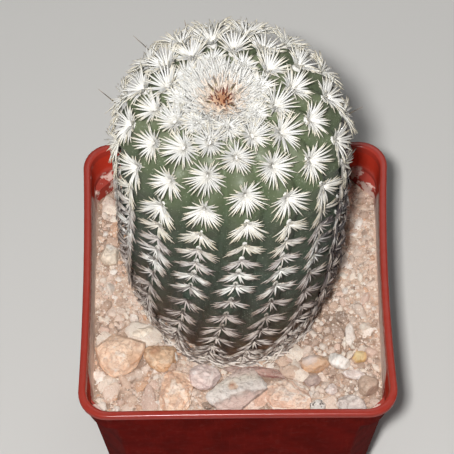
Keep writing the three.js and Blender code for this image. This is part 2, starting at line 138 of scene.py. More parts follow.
def makeTaper(sides, segments, tip):  # straight up on Z, one unit long, with rings to bend it at
    bm = bmesh.new()
    bmesh.ops.create_cone(bm, cap_ends=True, segments=sides, radius1=1, radius2=tip, depth=1)
    upright = [edge for edge in bm.edges if abs(edge.verts[0].co.z - edge.verts[1].co.z) > 0.5]
    bmesh.ops.subdivide_edges(bm, edges=upright, cuts=segments - 1)
    bmesh.ops.translate(bm, vec=(0, 0, 0.5), verts=bm.verts)
    return toMesh(bm, "taper")


def addObject(name, data):
    made = bpy.data.objects.new(name, data)
    scene.collection.objects.link(made)
    return made


def finishPiece(name, bm, material, replaced=(), sharpAngle=None):
    bmesh.ops.scale(bm, vec=(mm, mm, mm), verts=bm.verts)
    mesh = toMesh(bm, name)
    mesh.polygons.foreach_set("use_smooth", [True] * len(mesh.polygons))
    if sharpAngle is not None:
        mesh.set_sharp_from_angle(angle=radians(sharpAngle))
    mesh.materials.append(material)
    piece = addObject(name, mesh)
    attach(piece, "root")
    if replaced:
        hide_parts(*replaced)
    return piece


# Shader helpers: a node goes into the tree of the sockets that feed it.

def treeOf(*values):
    return next(value.id_data for value in values if isinstance(value, bpy.types.NodeSocket))


def join(socket, target):
    target.id_data.links.new(socket, target)


def put(tree, kind, inputs=None, **settings):
    node = tree.nodes.new("ShaderNode" + kind)
    for name, value in settings.items():
        setattr(node, name, value)
    for name, value in (inputs or {}).items():
        if isinstance(value, bpy.types.NodeSocket):
            join(value, node.inputs[name])
        else:
            node.inputs[name].default_value = value
    return node


def maths(operation, first, second=0.0, third=0.0, clamp=False):
    inputs = {0: first, 1: second, 2: third}
    return put(treeOf(first, second), "Math", inputs, operation=operation, use_clamp=clamp).outputs[0]


def plus(first, second):
    return maths("ADD", first, second)


def minus(first, second, clamp=False):
    return maths("SUBTRACT", first, second, clamp=clamp)


def times(first, second):
    return maths("MULTIPLY", first, second)


def absolute(value):
    return maths("ABSOLUTE", value)


def waver(value, size):  # a noise that goes to both sides of nothing
    return times(minus(value, 0.5), size)


def spanned(value, low, high):  # evenly from 0 to 1
    return put(treeOf(value), "MapRange", {0: value, 1: low, 2: high}).outputs[0]


def remap(value, low, high, newLow=0.0, newHigh=1.0):  # smoothly
    inputs = {0: value, 1: low, 2: high, 3: newLow, 4: newHigh}
    return put(treeOf(value), "MapRange", inputs, interpolation_type="SMOOTHSTEP").outputs[0]


def mixed(share, first, second, blend="MIX"):
    inputs = {0: share, 6: first, 7: second}
    return put(treeOf(share, first, second), "Mix", inputs, data_type="RGBA", blend_type=blend).outputs[2]


def coat(colour, code, share):  # another colour over a share of the surface
    return mixed(share, colour, paint(code))


def ramp(value, stops, interpolation="LINEAR"):
    node = put(treeOf(value), "ValToRGB", {"Fac": value})
    node.color_ramp.interpolation = interpolation
    while len(node.color_ramp.elements) < len(stops):
        node.color_ramp.elements.new(0.5)
    for element, (position, code) in zip(node.color_ramp.elements, stops):
        element.position = position
        element.color = paint(code)
    return node.outputs["Color"]


def axes(vector):
    return put(treeOf(vector), "SeparateXYZ", {0: vector}).outputs


def distanceTo(place, point):
    return put(treeOf(place), "VectorMath", {0: place, 1: point}, operation="DISTANCE").outputs["Value"]


def stretched(place, scale, turn=(0, 0, 0)):
    return put(treeOf(place), "Mapping", {"Vector": place, "Rotation": turn, "Scale": scale}).outputs[0]


def noiseAt(place, scale, detail=3.0, roughness=0.55, distortion=0.0):
    inputs = {"Vector": place, "Scale": scale, "Detail": detail, "Roughness": roughness}
    return put(treeOf(place), "TexNoise", inputs | {"Distortion": distortion}).outputs["Fac"]


def cellsAt(place, scale):  # a random value for each cell, and the distance to its middle
    cells = put(treeOf(place), "TexVoronoi", {"Vector": place, "Scale": scale}).outputs
    return put(treeOf(place), "SeparateColor", {0: cells["Color"]}).outputs[0], cells["Distance"]


def attribute(shader, name):
    return put(shader.id_data, "Attribute", attribute_name=name).outputs["Fac"]


def bumped(height, strength, distance):
    inputs = {"Height": height, "Strength": strength, "Distance": distance * mm}
    return put(treeOf(height), "Bump", inputs).outputs["Normal"]


def startMaterial(name, roughness, **values):
    material = bpy.data.materials.new(name)
    material.use_nodes = True
    shader = material.node_tree.nodes["Principled BSDF"]
    shader.inputs["Roughness"].default_value = roughness
    for label, value in values.items():
        shader.inputs[label.replace("_", " ")].default_value = value
    return material, shader, put(material.node_tree, "TexCoord").outputs["Object"]


def feed(shader, **sockets):
    for label, socket in sockets.items():
        join(socket, shader.inputs[label.replace("_", " ")])


def startGroup(name, inputs, outputs):
    tree = bpy.data.node_groups.new(name, "ShaderNodeTree")
    for label, value in inputs.items():
        kind = "NodeSocketVector" if value is None else "NodeSocketFloat"
        socket = tree.interface.new_socket(label, in_out="INPUT", socket_type=kind)
        if value is not None:
            socket.default_value = value
    for label in outputs:
        tree.interface.new_socket(label, in_out="OUTPUT", socket_type="NodeSocketFloat")
    return tree, tree.nodes.new("NodeGroupInput").outputs, tree.nodes.new("NodeGroupOutput").inputs


# Dust: settles in patches, and more on what faces up.
def makeDustGroup():
    inputs = {"Place": None, "Scale": 300, "Upward": 0.5, "Amount": 0.5}
    tree, given, result = startGroup("dust", inputs, ["Mask"])
    up = axes(put(tree, "NewGeometry").outputs["Normal"])["Z"]
    level = times(remap(up, 0.1, 0.95), given["Upward"])
    base = plus(level, minus(1, given["Upward"]))
    patches = noiseAt(given["Place"], given["Scale"], 4)
    lifted = plus(times(base, given["Amount"]), patches)
    join(remap(lifted, 0.55, 1.1), result["Mask"])
    return tree


# Mottle: broad and fine unevenness, for colour and for bumps.
def makeMottleGroup():
    tree, given, result = startGroup("mottle", {"Place": None, "Scale": 300}, ["Broad", "Fine"])
    join(noiseAt(given["Place"], given["Scale"], 2), result["Broad"])
    join(noiseAt(given["Place"], times(given["Scale"], 6), 5, 0.65), result["Fine"])
    return tree


# Specks: small separate spots, of which only a share shows.
def makeSpeckGroup():
    inputs = {"Place": None, "Scale": 900, "Size": 0.3, "Share": 0.3}
    tree, given, result = startGroup("specks", inputs, ["Mask"])
    pick, distance = cellsAt(given["Place"], given["Scale"])
    spot = remap(minus(given["Size"], distance), 0.0, 0.12)
    join(times(spot, maths("LESS_THAN", pick, given["Share"])), result["Mask"])
    return tree


# Rock: broad patches, blocks like crystals, thin veins and fine grain.
def makeRockGroup():
    outputs = ["Patches", "Blocks", "Veins", "Grain"]
    tree, given, result = startGroup("rock", {"Place": None, "Scale": 200}, outputs)
    place, scale = given["Place"], given["Scale"]
    join(noiseAt(place, scale, 4, 0.6, 1.4), result["Patches"])
    join(cellsAt(place, times(scale, 2.6))[0], result["Blocks"])
    crack = absolute(minus(noiseAt(place, times(scale, 1.7), 4, 0.6), 0.5))
    join(remap(crack, 0.004, 0.028, 1, 0), result["Veins"])
    join(noiseAt(place, times(scale, 11), 4, 0.75), result["Grain"])
    return tree


groups = {
    "dust": makeDustGroup(),
    "mottle": makeMottleGroup(),
    "specks": makeSpeckGroup(),
    "rock": makeRockGroup(),
}


def effect(name, place, **values):
    node = treeOf(place).nodes.new("ShaderNodeGroup")
    node.node_tree = groups[name]
    join(place, node.inputs["Place"])
    for label, value in values.items():
        node.inputs[label].default_value = value
    return node.outputs


# Camera: the photograph's view, as fitted to the pot's rim.
view = {
    "target": (-2.58, 15.81, 85),
    "distance": 707.67,
    "azimuth": 0.211,
    "elevation": 60.234,
    "roll": -0.777,
    "focalPixels": 2450,
    "framePixels": 454,
}


def addCamera():
    azimuth = radians(view["azimuth"])
    back = toward(azimuth, radians(view["elevation"]))
    right = Vector((cos(azimuth), sin(azimuth), 0))
    turn = Matrix((right, back.cross(right), back)).transposed().to_4x4()
    stand = (Vector(view["target"]) + back * view["distance"]) * mm
    data = bpy.data.cameras.new("camera")
    data.lens = data.sensor_width * view["focalPixels"] / view["framePixels"]
    camera = addObject("camera", data)
    camera.matrix_world = Matrix.Translation(stand) @ turn @ Matrix.Rotation(radians(view["roll"]), 4, "Z")
    scene.camera = camera


studio = {
    "floor": "d2d0cc",
    "floorSize": 6000,
    "world": "eef1f5",
    "worldStrength": 0.09,
    # azimuth from the front towards the right, elevation, distance, size and watts
    "key": (-5.5, 63, 760, 32, 6.05),
    "fill": (-55, 35, 1200, 900, 0.26),
    "rim": (170, 50, 1100, 500, 1.3),
}


def addStudio():
    bm = bmesh.new()
    bmesh.ops.create_grid(bm, x_segments=1, y_segments=1, size=studio["floorSize"] / 2 * mm)
    floor = addObject("floor", toMesh(bm, "floor"))
    material, shader = startMaterial("floorPaper", 0.85)[:2]
    shader.inputs["Base Color"].default_value = paint(studio["floor"])
    floor.data.materials.append(material)
    floor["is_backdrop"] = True
    for name in ("key", "fill", "rim"):
        azimuth, elevation, distance, size, watts = studio[name]
        away = toward(radians(azimuth), radians(elevation))
        data = bpy.data.lights.new(name, "AREA")
        data.size = size * mm
        data.energy = watts
        lamp = addObject(name, data)
        turn = away.to_track_quat("Z", "Y").to_matrix().to_4x4()
        lamp.matrix_world = Matrix.Translation(away * distance * mm) @ turn
        lamp.matrix_world.translation += Vector((0, 0, soilLevel * mm))
    world = bpy.data.worlds.new("studio")
    world.use_nodes = True
    backdrop = world.node_tree.nodes["Background"].inputs
    backdrop["Color"].default_value = paint(studio["world"])
    backdrop["Strength"].default_value = studio["worldStrength"]
    scene.world = world
    scene.view_settings.view_transform = "Standard"


addCamera()
addStudio()
print("camera and studio set")


# Pot: level outlines from the foot up over the lip and down the inside, bridged one to the next.
pot = {
    "height": 85,
    "rimHalf": 44.5,
    "flange": 0.9,
    "lipHeight": 2.2,
    "lipRound": 0.6,
    "draft": 5,
    "wall": 1.15,
    "floor": 1.6,
    "footBevel": 0.8,
    "ledgeDepth": 10.5,
    "ledgeSlope": 0.3,
    "cornerRadius": 8,
    "cut": 8.5,
    "cutRadius": 2,
    "bow": (1.2, 0.5, 0.7, 0.2),
    "edgeGap": 0.3,  # between the outlines that make a crisp edge
    "bandGap": (1.2, 0.25),  # of the band's outlines from its lower edge and from the lip
    "lipRelief": 0.06,
    "mouthLevels": (3, 7),  # below the top
    "ledgeLevels": (0.9, 0.2, 0),  # above the ledge
    "floorGap": 3,
    "drainRadius": 4,
    "drainAt": 22,
    "drainSides": 32,
    "sidePoints": 12,
    "cornerAngles": (0, 11, 22, 33, 44, 46, 57, 68, 79, 90),
}
potFinish = {  # heights, and distances from the middle
    "lip": (82.2, 83.2),  # where its paler colour begins, partly wear and partly painted light on the lit top
    "tide": 79,  # top of the dusty mark, which is partly painted light
    "waver": 5,  # and how much it varies, and rises at the two sides
    "sides": (36, 39),
    "corners": (70, 73),  # from here on, x and y together, are the corners
    "ledge": (76.6, 74.8),
    "ledgeEdge": 72.4,
}


def wallHalf(z):
    return pot["rimHalf"] - pot["flange"] - (pot["height"] - z) * tan(radians(pot["draft"]))


def roundCorner(inset):
    return pot["cornerRadius"] - inset, pot["cornerRadius"] - inset


def cutCorner(inset):
    spread = pot["cut"] - inset * (2 - sqrt(2)) + pot["cutRadius"] * tan(radians(22.5))
    return pot["cutRadius"], spread


def potRing(bm, insideLayer, z, corner, half=None, inset=0.0, inside=0.0):
    radius, spread = corner(inset)
    half = wallHalf(z) - inset if half is None else half
    bow = max(0.0, (z - soilLevel) / (pot["height"] - soilLevel))
    ring = []
    for side in range(4):
        turn = Matrix.Rotation(side * pi / 2, 3, "Z")
        local = []
        for i in range(pot["sidePoints"]):
            along = (2 * i + 1) / pot["sidePoints"] - 1
            pull = pot["bow"][side] * bow * (1 - along * along)
            local.append((half - pull, (half - spread) * along))
        low, high = half - spread, half - radius
        for angle in pot["cornerAngles"]:
            x, y = (high, low) if angle < 45 else (low, high)
            angle = radians(angle)
            local.append((x + radius * cos(angle), y + radius * sin(angle)))
        ring += [bm.verts.new(turn @ Vector((x, y, z))) for x, y in local]
    for vert in ring:
        vert[insideLayer] = inside
    return [bm.edges.new((ring[i - 1], ring[i])) for i in range(len(ring))]


def makePotMaterial():
    material, shader, place = startMaterial("brickPlastic", 0.3, Specular_IOR_Level=0.0, Coat_Roughness=0.2)
    x, y, z = axes(place)
    inside = attribute(shader, "inside")
    mottle = effect("mottle", place, Scale=120)
    broad, fine = mottle["Broad"], mottle["Fine"]
    # Moulding streaks run up and down the outer walls.
    streaks = noiseAt(stretched(place, (900, 900, 25)), 1.0, 3)
    # Painted shade: the plastic's red is darkened for the outer walls, which get the light only at a
    # grazing angle.
    plastic = mixed(remap(broad, 0.3, 0.7), paint("66110b"), paint("560d08"))
    plastic = coat(plastic, "7e2018", remap(streaks, 0.52, 0.8, 0, 0.3))
    # Painted light: the inside walls, which face the light, in a brighter red.
    plastic = coat(plastic, "c03a28", inside)
    lip = remap(z, *metres(potFinish["lip"]))
    # The paler lip is partly wear and partly painted light on its lit top.
    plastic = coat(plastic, "a2352a", times(lip, 0.8))
    # A dusty tide mark on the inside above the soil, with an uneven upper edge; it is partly dust and
    # partly painted light on the inner walls that lie in shade.
    tide = plus(z, times(fine, potFinish["waver"] * mm))
    reach = plus(absolute(x), absolute(y))
    corner = remap(reach, *metres(potFinish["corners"]))
    side = minus(remap(absolute(x), *metres(potFinish["sides"])), corner, clamp=True)
    top = plus(potFinish["tide"] * mm, times(side, potFinish["waver"] * mm))
    below = remap(minus(top, tide), -1.5 * mm, 1.5 * mm)
    tideDustAndLight = times(times(below, inside), minus(1, times(corner, 0.93)))
    # Painted light: near white over the shaded inner walls, besides the dust.
    plastic = coat(plastic, "fff0e6", times(tideDustAndLight, 0.95))
    lines = noiseAt(stretched(place, (50, 50, 1500)), 1.0, 2)
    plastic = coat(plastic, "7a5246", times(remap(lines, 0.54, 0.62, 0, 0.55), tideDustAndLight))
    plastic = coat(plastic, "c49a84", times(times(remap(fine, 0.5, 0.68), tideDustAndLight), 0.5))
    # Patches of lime and soil on the corner ledges, and a crust along the ledges' inner edges.
    ledge = times(times(remap(z, *metres(potFinish["ledge"])), corner), inside)
    plastic = coat(plastic, "862c22", times(ledge, 0.7))
    patch = plus(plus(broad, times(fine, 0.4)), times(minus(y, x), 1.2))
    rim = absolute(minus(reach, potFinish["ledgeEdge"] * mm))
    rim = times(remap(rim, 0.9 * mm, 0.4 * mm), remap(fine, 0.35, 0.5))
    crust = times(maths("MAXIMUM", remap(patch, 0.75, 0.81), rim), ledge)
    plastic = coat(plastic, "dcc4b8", times(crust, 0.85))
    dust = effect("dust", place, Scale=500, Upward=0.8, Amount=0.35)["Mask"]
    plastic = coat(plastic, "b98a7c", times(dust, 0.06))
    worn = plus(times(tideDustAndLight, 0.4), times(crust, 0.3))
    worn = plus(worn, remap(fine, 0.3, 0.8, 0.24, 0.42))
    grain = plus(fine, times(crust, 2))
    feed(shader, Base_Color=plastic, Roughness=worn, Normal=bumped(grain, 0.25, 0.25))
    feed(shader, Coat_Weight=maths("MULTIPLY_ADD", lip, 0.5, 0.04))
    return material


def makePot():
    bm = bmesh.new()
    inner = newLayers(bm, "inside")[0]
    top, wall, gap = pot["height"], pot["wall"], pot["edgeGap"]
    curve, bevel = pot["lipRound"], pot["footBevel"]
    ledge = top - pot["ledgeDepth"]
    under = ledge - wall
    lip = top - pot["lipHeight"]
    mouth = pot["rimHalf"] - pot["flange"] - wall
    rings = []

    def add(z, corner, *others, **values):
        rings.append(potRing(bm, inner, z, corner, *others, **values))

    for step in range(4):  # rounded foot
        angle = step * pi / 6
        add(bevel * (1 - cos(angle)), cutCorner, wallHalf(bevel) - bevel * (1 - sin(angle)))
    for z in (soilLevel, under - gap, under):
        add(z, cutCorner)
    for z in (under + pot["ledgeSlope"], under + pot["bandGap"][0], lip - pot["bandGap"][1]):
        add(z, roundCorner)
    add(lip, roundCorner, pot["rimHalf"] - gap)
    add(lip + gap, roundCorner, pot["rimHalf"] - pot["lipRelief"])
    for step in range(5):  # rounded lip
        angle = step * pi / 8
        add(top - curve * (1 - sin(angle)), roundCorner, pot["rimHalf"] - curve * (1 - cos(angle)))
    for step in range(4):
        angle = step * pi / 6
        half = mouth + curve * (1 - sin(angle))
        add(top - curve * (1 - cos(angle)), roundCorner, half, wall, step / 3)
    for z in [top - down for down in pot["mouthLevels"]] + [ledge + up for up in pot["ledgeLevels"]]:
        add(z, roundCorner, inset=wall, inside=1)
    for z in (ledge - pot["ledgeSlope"], soilLevel, pot["floor"] + pot["floorGap"], pot["floor"]):
        add(z, cutCorner, inset=wall, inside=1)
    for low, high in zip(rings, rings[1:]):
        bmesh.ops.bridge_loops(bm, edges=low + high)
    for ring in (rings[0], rings[-1]):
        bmesh.ops.edgeloop_fill(bm, edges=ring)
    bmesh.ops.recalc_face_normals(bm, faces=bm.faces)
    cutDrains(finishPiece("pot_shell", bm, makePotMaterial(), ["pot"], sharpAngle=32))


def cutDrains(piece):  # four round holes through the floor
    bm = bmesh.new()
    size = {"radius1": pot["drainRadius"], "radius2": pot["drainRadius"], "depth": pot["floor"] * 4}
    for x in (-pot["drainAt"], pot["drainAt"]):
        for y in (-pot["drainAt"], pot["drainAt"]):
            place = Matrix.Translation((x, y, 0))
            bmesh.ops.create_cone(bm, cap_ends=True, segments=pot["drainSides"], matrix=place, **size)
    bmesh.ops.scale(bm, vec=(mm, mm, mm), verts=bm.verts)
    drains = addObject("drains", toMesh(bm, "drains"))
    modifier = piece.modifiers.new("drains", "BOOLEAN")
    modifier.object = drains
    modifier.solver = "EXACT"
    with bpy.context.temp_override(object=piece, active_object=piece):
        bpy.ops.object.modifier_apply(modifier="drains")
    bpy.data.objects.remove(drains)


makePot()
print("pot made")


# Stem: the crest's profile, the ribs' turn and the rows of areoles, as on the solid model.
stem = {
    "ribs": 16,
    "x": -1.3,
    "y": 3,
    "lean": (0.2, -0.7),
    "tipShift": (-3.3, -1.8),
    "tipPower": 3,
    "baseRadius": 21.5,
    "radius": 29.4,
    "taper": 40,
    "shoulder": 85,
    "height": 109.5,
    "ribDepth": 2.9,
    "footFade": (-6, 26),
    "headFade": (30, 0.7),
    "notch": 0.7,
    "dimple": 3.5,
    "dimpleRadius": 9,
    "turn": (-20.3, 60.5, -29.8),
    "root": 5.7,
    "rootRadius": 20.4,
    "around": 224,
    "upward": 170,
    "furrowShape": 1.5,
    "notchShape": 1.5,
    "swelling": 0.5,
    "footEase": (4, 10),  # how far up the swellings and the unevenness begin
    "unevenness": (0.35, 0.25),  # scale and height
    "taperSteps": 100,
    "domeSteps": 200,
}
rowsUp = {  # the distance of some rows up a rib; the rest lie evenly between them
    "marks": ((0, 0.3), (5, 18.6), (7, 27.6), (9, 35.1), (11, 42.8), (13, 51.5), (15, 60.0),
              (17, 66.7), (19, 73.6), (21, 81.5), (23, 91.3), (25, 100.3), (27, 110.4), (30, 122.3)),
}


def makeProfile():  # points along the crest, with the distance to each
    base, full, bend, shoulder = stem["baseRadius"], stem["radius"], stem["taper"], stem["shoulder"]
    points = []
    for i in range(stem["taperSteps"] + 1):
        t = i / stem["taperSteps"]
        radius = (1 - t) ** 2 * base + (2 * t * (1 - t) + t * t) * full
        points.append((radius, (t * (1 - t) + t * t) * bend))
    points.append((full, shoulder))
    for i in range(1, stem["domeSteps"] + 1):
        angle = i / stem["domeSteps"] * pi / 2
        points.append((full * cos(angle), shoulder + (stem["height"] - shoulder) * sin(angle)))
    lengths = [0.0]
    for a, b in zip(points, points[1:]):
        lengths.append(lengths[-1] + hypot(b[0] - a[0], b[1] - a[1]))
    return points, lengths


profilePoints, profileLengths = makeProfile()
profileLength = profileLengths[-1]


def crestAt(along):
    along = max(0.0, min(profileLength, along))
    i = max(1, bisect_left(profileLengths, along))
    share = (along - profileLengths[i - 1]) / (profileLengths[i] - profileLengths[i - 1])
    radius = between(profilePoints[i - 1][0], profilePoints[i][0], share)
    height = between(profilePoints[i - 1][1], profilePoints[i][1], share)
    dip = max(0.0, 1 - (radius / stem["dimpleRadius"]) ** 2) if height > stem["shoulder"] else 0.0
    return radius, height - stem["dimple"] * dip


def turnAt(along):
    share = along / profileLength
    return stem["turn"][0] + stem["turn"][1] * share + stem["turn"][2] * share * share


def axisAt(height):
    up = height / stem["height"]
    crown = max(0.0, (height - stem["shoulder"]) / (stem["height"] - stem["shoulder"])) ** stem["tipPower"]
    x = stem["x"] + stem["lean"][0] * up + stem["tipShift"][0] * crown
    y = stem["y"] + stem["lean"][1] * up + stem["tipShift"][1] * crown
    return Vector((x, y, soilLevel + height))


def stemFrame(along, angle):  # origin on the crest, and directions across, along and out of the rib
    radius, height = crestAt(along)
    before, after = crestAt(along - 0.5), crestAt(along + 0.5)
    run = hypot(after[0] - before[0], after[1] - before[1])
    outward, upward = (after[0] - before[0]) / run, (after[1] - before[1]) / run
    turned = radians(angle + turnAt(along))
    away = toward(turned)
    across = Vector((cos(turned), sin(turned), 0))
    up = away * outward + Vector((0, 0, upward))
    out = away * upward - Vector((0, 0, outward))
    slant = radians(stem["turn"][1] + 2 * stem["turn"][2] * along / profileLength) * radius / profileLength
    rib = (up + across * slant).normalized()
    return axisAt(height) + away * radius, across, rib, out


def makeRows():
    marks = rowsUp["marks"]
    rows = [marks[0][1]]
    for (first, low), (last, high) in zip(marks, marks[1:]):
        for row in range(first + 1, last + 1):
            rows.append(between(low, high, (row - first) / (last - first)))
    return rows


rows = makeRows()
ribStep = 360 / stem["ribs"]


def areoleLift(rib, along):  # 1 at an areole of that rib, 0 midway between two
    i = max(1, min(len(rows) - 1, bisect_left(rows, along)))
    share = (along - rows[i - 1]) / (rows[i] - rows[i - 1])
    place = max(0.0, min(len(rows) - 1.0, i - 1 + share))
    return 0.5 + 0.5 * cos(pi * (place - (1 - rib % 2)))


def ribDepthAt(along):
    start, over = stem["footFade"]
    foot = max(0.0, min(1.0, (along - start) / over))
    head = min(1.0, max(0.0, profileLength - along) / stem["headFade"][0]) ** stem["headFade"][1]
    return stem["ribDepth"] * foot * head


def skinPoint(along, angle):  # on the stem's surface, with how deep in a furrow it lies
    place = (angle - turnAt(along)) / ribStep
    rib = round(place)
    across = min(1.0, 2 * abs(place - rib))
    lift = areoleLift(rib % stem["ribs"], along)
    sink = ribDepthAt(along) * across ** stem["furrowShape"]
    notch = stem["notch"] * (1 - lift) - stem["swelling"] * lift ** 3
    sink += notch * (1 - across) ** stem["notchShape"] * min(1, along / stem["footEase"][0])
    origin, side, up, out = stemFrame(along, angle - turnAt(along))
    scale, height = stem["unevenness"]
    rough = noise.noise(origin * scale) * height
    return origin - out * (sink - rough * min(1, along / stem["footEase"][1])), across


def makeSkinMaterial():
    material, shader, place = startMaterial("cactusSkin", 0.5)
    mottle = effect("mottle", place, Scale=180)
    height = plus(axes(place)["Z"], waver(mottle["Broad"], 12 * mm))
    height = spanned(height, soilLevel * mm, 180 * mm)
    green = ramp(height, [(0.0, "8a6046"), (0.07, "6c4e38"), (0.16, "463e30"), (0.45, "3a453b"),
                          (0.7, "424c3a"), (0.86, "5a6449"), (1.0, "7a8066")])
    # Painted shade: the skin is darker deep in the furrows, where shade falls.
    furrowShade = ramp(height, [(0.0, "3d2c20"), (0.2, "2a2920"), (0.5, "2e3a2e"), (0.75, "40503a"),
                            (1.0, "66724f")])
    green = mixed(remap(attribute(shader, "furrow"), 0.55, 1.0, 0, 0.8), green, furrowShade)
    green = coat(green, "727a6a", remap(mottle["Fine"], 0.45, 0.75, 0, 0.35))
    pores = effect("specks", place, Scale=1500, Size=0.35, Share=0.35)["Mask"]
    green = coat(green, "a9b09a", times(pores, 0.3))
    # Wool of the newest areoles covers the skin round the growing point.
    away = distanceTo(place, skinPoint(profileLength, 0)[0] * mm)
    away = plus(away, times(mottle["Broad"], 5 * mm))
    green = coat(green, "d6d2c2", remap(away, 13 * mm, 9 * mm, 0, 0.85))
    rough = remap(mottle["Fine"], 0.3, 0.8, 0.42, 0.62)
    relief = minus(mottle["Fine"], times(pores, 0.4))
    feed(shader, Base_Color=green, Roughness=rough, Normal=bumped(relief, 0.35, 0.3))
    return material


def makeStem():
    bm = bmesh.new()
    alongLayer, furrowLayer = newLayers(bm, "along", "furrow")
    spots = [(radius, -stem["root"], -1) for radius in (0.001, 10, stem["rootRadius"])]
    for i in range(stem["upward"] + 1):
        along = profileLength * i / stem["upward"]
        spots.append((*crestAt(along), along))
    line = []
    for radius, height, along in spots:
        line.append(bm.verts.new((radius, 0, soilLevel + height)))
        line[-1][alongLayer] = along
    edges = [bm.edges.new(pair) for pair in zip(line, line[1:])]
    axis = {"cent": (0, 0, 0), "axis": (0, 0, 1), "angle": 2 * pi, "steps": stem["around"]}
    bmesh.ops.spin(bm, geom=line + edges, use_merge=True, **axis)
    bmesh.ops.remove_doubles(bm, verts=bm.verts, dist=0.002)
    for vert in bm.verts:
        angle = atan2(vert.co.x, -vert.co.y) * 180 / pi
        if vert[alongLayer] < 0:
            vert.co += Vector((stem["x"], stem["y"], 0))
        elif hypot(vert.co.x, vert.co.y) < 0.01:
            vert.co = skinPoint(profileLength, 0)[0]
        else:
            vert.co, vert[furrowLayer] = skinPoint(vert[alongLayer], angle)
    bmesh.ops.recalc_face_normals(bm, faces=bm.faces)
    finishPiece("cactus_stem", bm, makeSkinMaterial(), ["cactus"])


makeStem()
print("stem made")


# Spines: a comb of them round every areole, each bent out and back to the stem.
spine = {
    "sides": 4,
    "segments": 4,
    "tip": 0.05,  # its radius in mm
    "cone": 0.12,  # of the plain form that is bent
    "taper": 2.6,
    "bunch": 0.9,  # of the rings towards the tip
    "root": (0.3, 0.5),  # across from the middle of the areole, and out
    "clear": 1.0,  # of the tips over the soil
    "lengthVary": (0.74, 1.06),
    "angleVary": 0.55,
    "thicknessVary": (0.85, 1.12),
    "riseVary": (0.6, 1.3),
    "archVary": (0.5, 1.5),
    "sizeVary": (0.86, 1.06),  # of a whole comb
    "leanVary": 0.12,
    "wingsTo": (0.8, 0.61),  # the share of the way up below which a comb is two flat wings
    "shade": (0.7, 0.06, 2.0),  # where combs hang like a parasol, over what spread and how far
    "crownFrom": 0.76,
    "innermost": (0.9, 0.92),  # where the last ring begins, as a share of the way up
    "innerShort": 0.5,  # how much less its spines reach inwards and rise
    "crowded": 4.5,  # ribs narrower than this shorten their spines
    "tightest": 0.55,  # but no further than to this share
    "crownGap": 8.2,  # around the growing point, where the young spines are
    "seed": 11,
}
comb = {  # as two wings low on the stem, as a star higher up, and at the crown
    "count": (32, 36, 34),
    "sideways": (6.1, 6.3, 5.6),
    "upward": (3.1, 5.5, 5.1),
    "rise": (1.8, 3.0, 6.0),
    "arch": (0.6, 0.9, 0.3),
    "gather": (0.5, 0.0, 0.0),  # towards the two sides
    "droop": (0.9, 0.7, 0.0),
    "thickness": (0.24, 0.32, 0.33),
    "hub": (0.5, 0.7, 0.7),
}
spineBands = {"spines_foot": (1, 10), "spines_middle": (10, 20), "spines_crown": (20, len(rows) - 1)}
spineLayers = ("along", "age", "tint")
spineMesh = makeTaper(spine["sides"], spine["segments"], spine["cone"])
spineSpots = [(v.co.x, v.co.y, v.co.z) for v in spineMesh.vertices]


def bendSpine(verts, start, middle, end, thickness, side):
    for vert, (x, y, z) in zip(verts, spineSpots):
        t = z ** spine["bunch"]
        centre = start * (1 - t) ** 2 + middle * (2 * t * (1 - t)) + end * t * t
        heading = ((middle - start) * (1 - t) + (end - middle) * t).normalized()
        first = heading.cross(side).normalized()
        second = heading.cross(first)
        flat = hypot(x, y) or 1.0
        radius = between(thickness, spine["tip"], t ** spine["taper"])
        vert.co = centre + (first * x + second * y) * (radius / flat)


def addSpines(bm, layers, lines, thickness, age, seeded, tone=None):
    along, ages, tint = layers
    for start, middle, end, side in lines:
        verts = addShape(bm, spineMesh)
        bendSpine(verts, start, middle, end, thickness * seeded.uniform(*spine["thicknessVary"]), side)
        shade = seeded.random() if tone is None else tone
        for vert, (x, y, z) in zip(verts, spineSpots):
            vert[along], vert[ages], vert[tint] = z, age, shade


def combValues(share):
    wings = easeIn(*spine["wingsTo"], share) if share > spine["wingsTo"][1] else 1.0
    crown = easeIn(spine["crownFrom"], 1.0, share)
    values = {}
    for name, (wing, star, young) in comb.items():
        values[name] = between(between(star, wing, wings), young, crown)
    at, spread, hang = spine["shade"]
    values["droop"] += hang * exp(-((share - at) / spread) ** 2)
    return values


def clusterLines(rib, row, seeded):
    along = rows[row]
    origin, across, upRib, out = stemFrame(along, rib * ribStep)
    values = combValues(along / profileLength)
    room = 2 * pi * crestAt(along)[0] / stem["ribs"]
    tight = min(1.0, max(spine["tightest"], room / spine["crowded"]))
    count = round(values["count"])
    size = seeded.uniform(*spine["sizeVary"])
    lean = seeded.gauss(0, spine["leanVary"])
    last = easeIn(*spine["innermost"], along / profileLength) * spine["innerShort"]
    rootAcross, rootOut = spine["root"]
    lines = []
    for i in range(count):
        angle = (i + 0.5 + seeded.uniform(-1, 1) * spine["angleVary"]) / count * 2 * pi
        angle -= values["gather"] * sin(2 * angle) / 2
        length = size * seeded.uniform(*spine["lengthVary"])
        x = values["sideways"] * tight * length * cos(angle + lean)
        y = values["upward"] * tight * length * sin(angle + lean) - values["droop"] * abs(cos(angle))
        y *= 1 - last if y > 0 else 1
        rise = values["rise"] * seeded.uniform(*spine["riseVary"]) * (1 - last)
        root = (rootAcross * tight * cos(angle), values["hub"] * tight * sin(angle))
        start = origin + across * root[0] + upRib * root[1] + out * rootOut
        end = origin + across * x + upRib * y + out * rise
        end.z = max(end.z, soilLevel + spine["clear"])
        middle = start.lerp(end, 0.5) + out * values["arch"] * seeded.uniform(*spine["archVary"])
        side = (across * -sin(angle) + upRib * cos(angle)).normalized()
        lines.append((start, middle, end, side))
    return lines, values["thickness"]


def hasCluster(rib, row):
    return 0 < row and rows[row] < profileLength - spine["crownGap"] and row % 2 != rib % 2


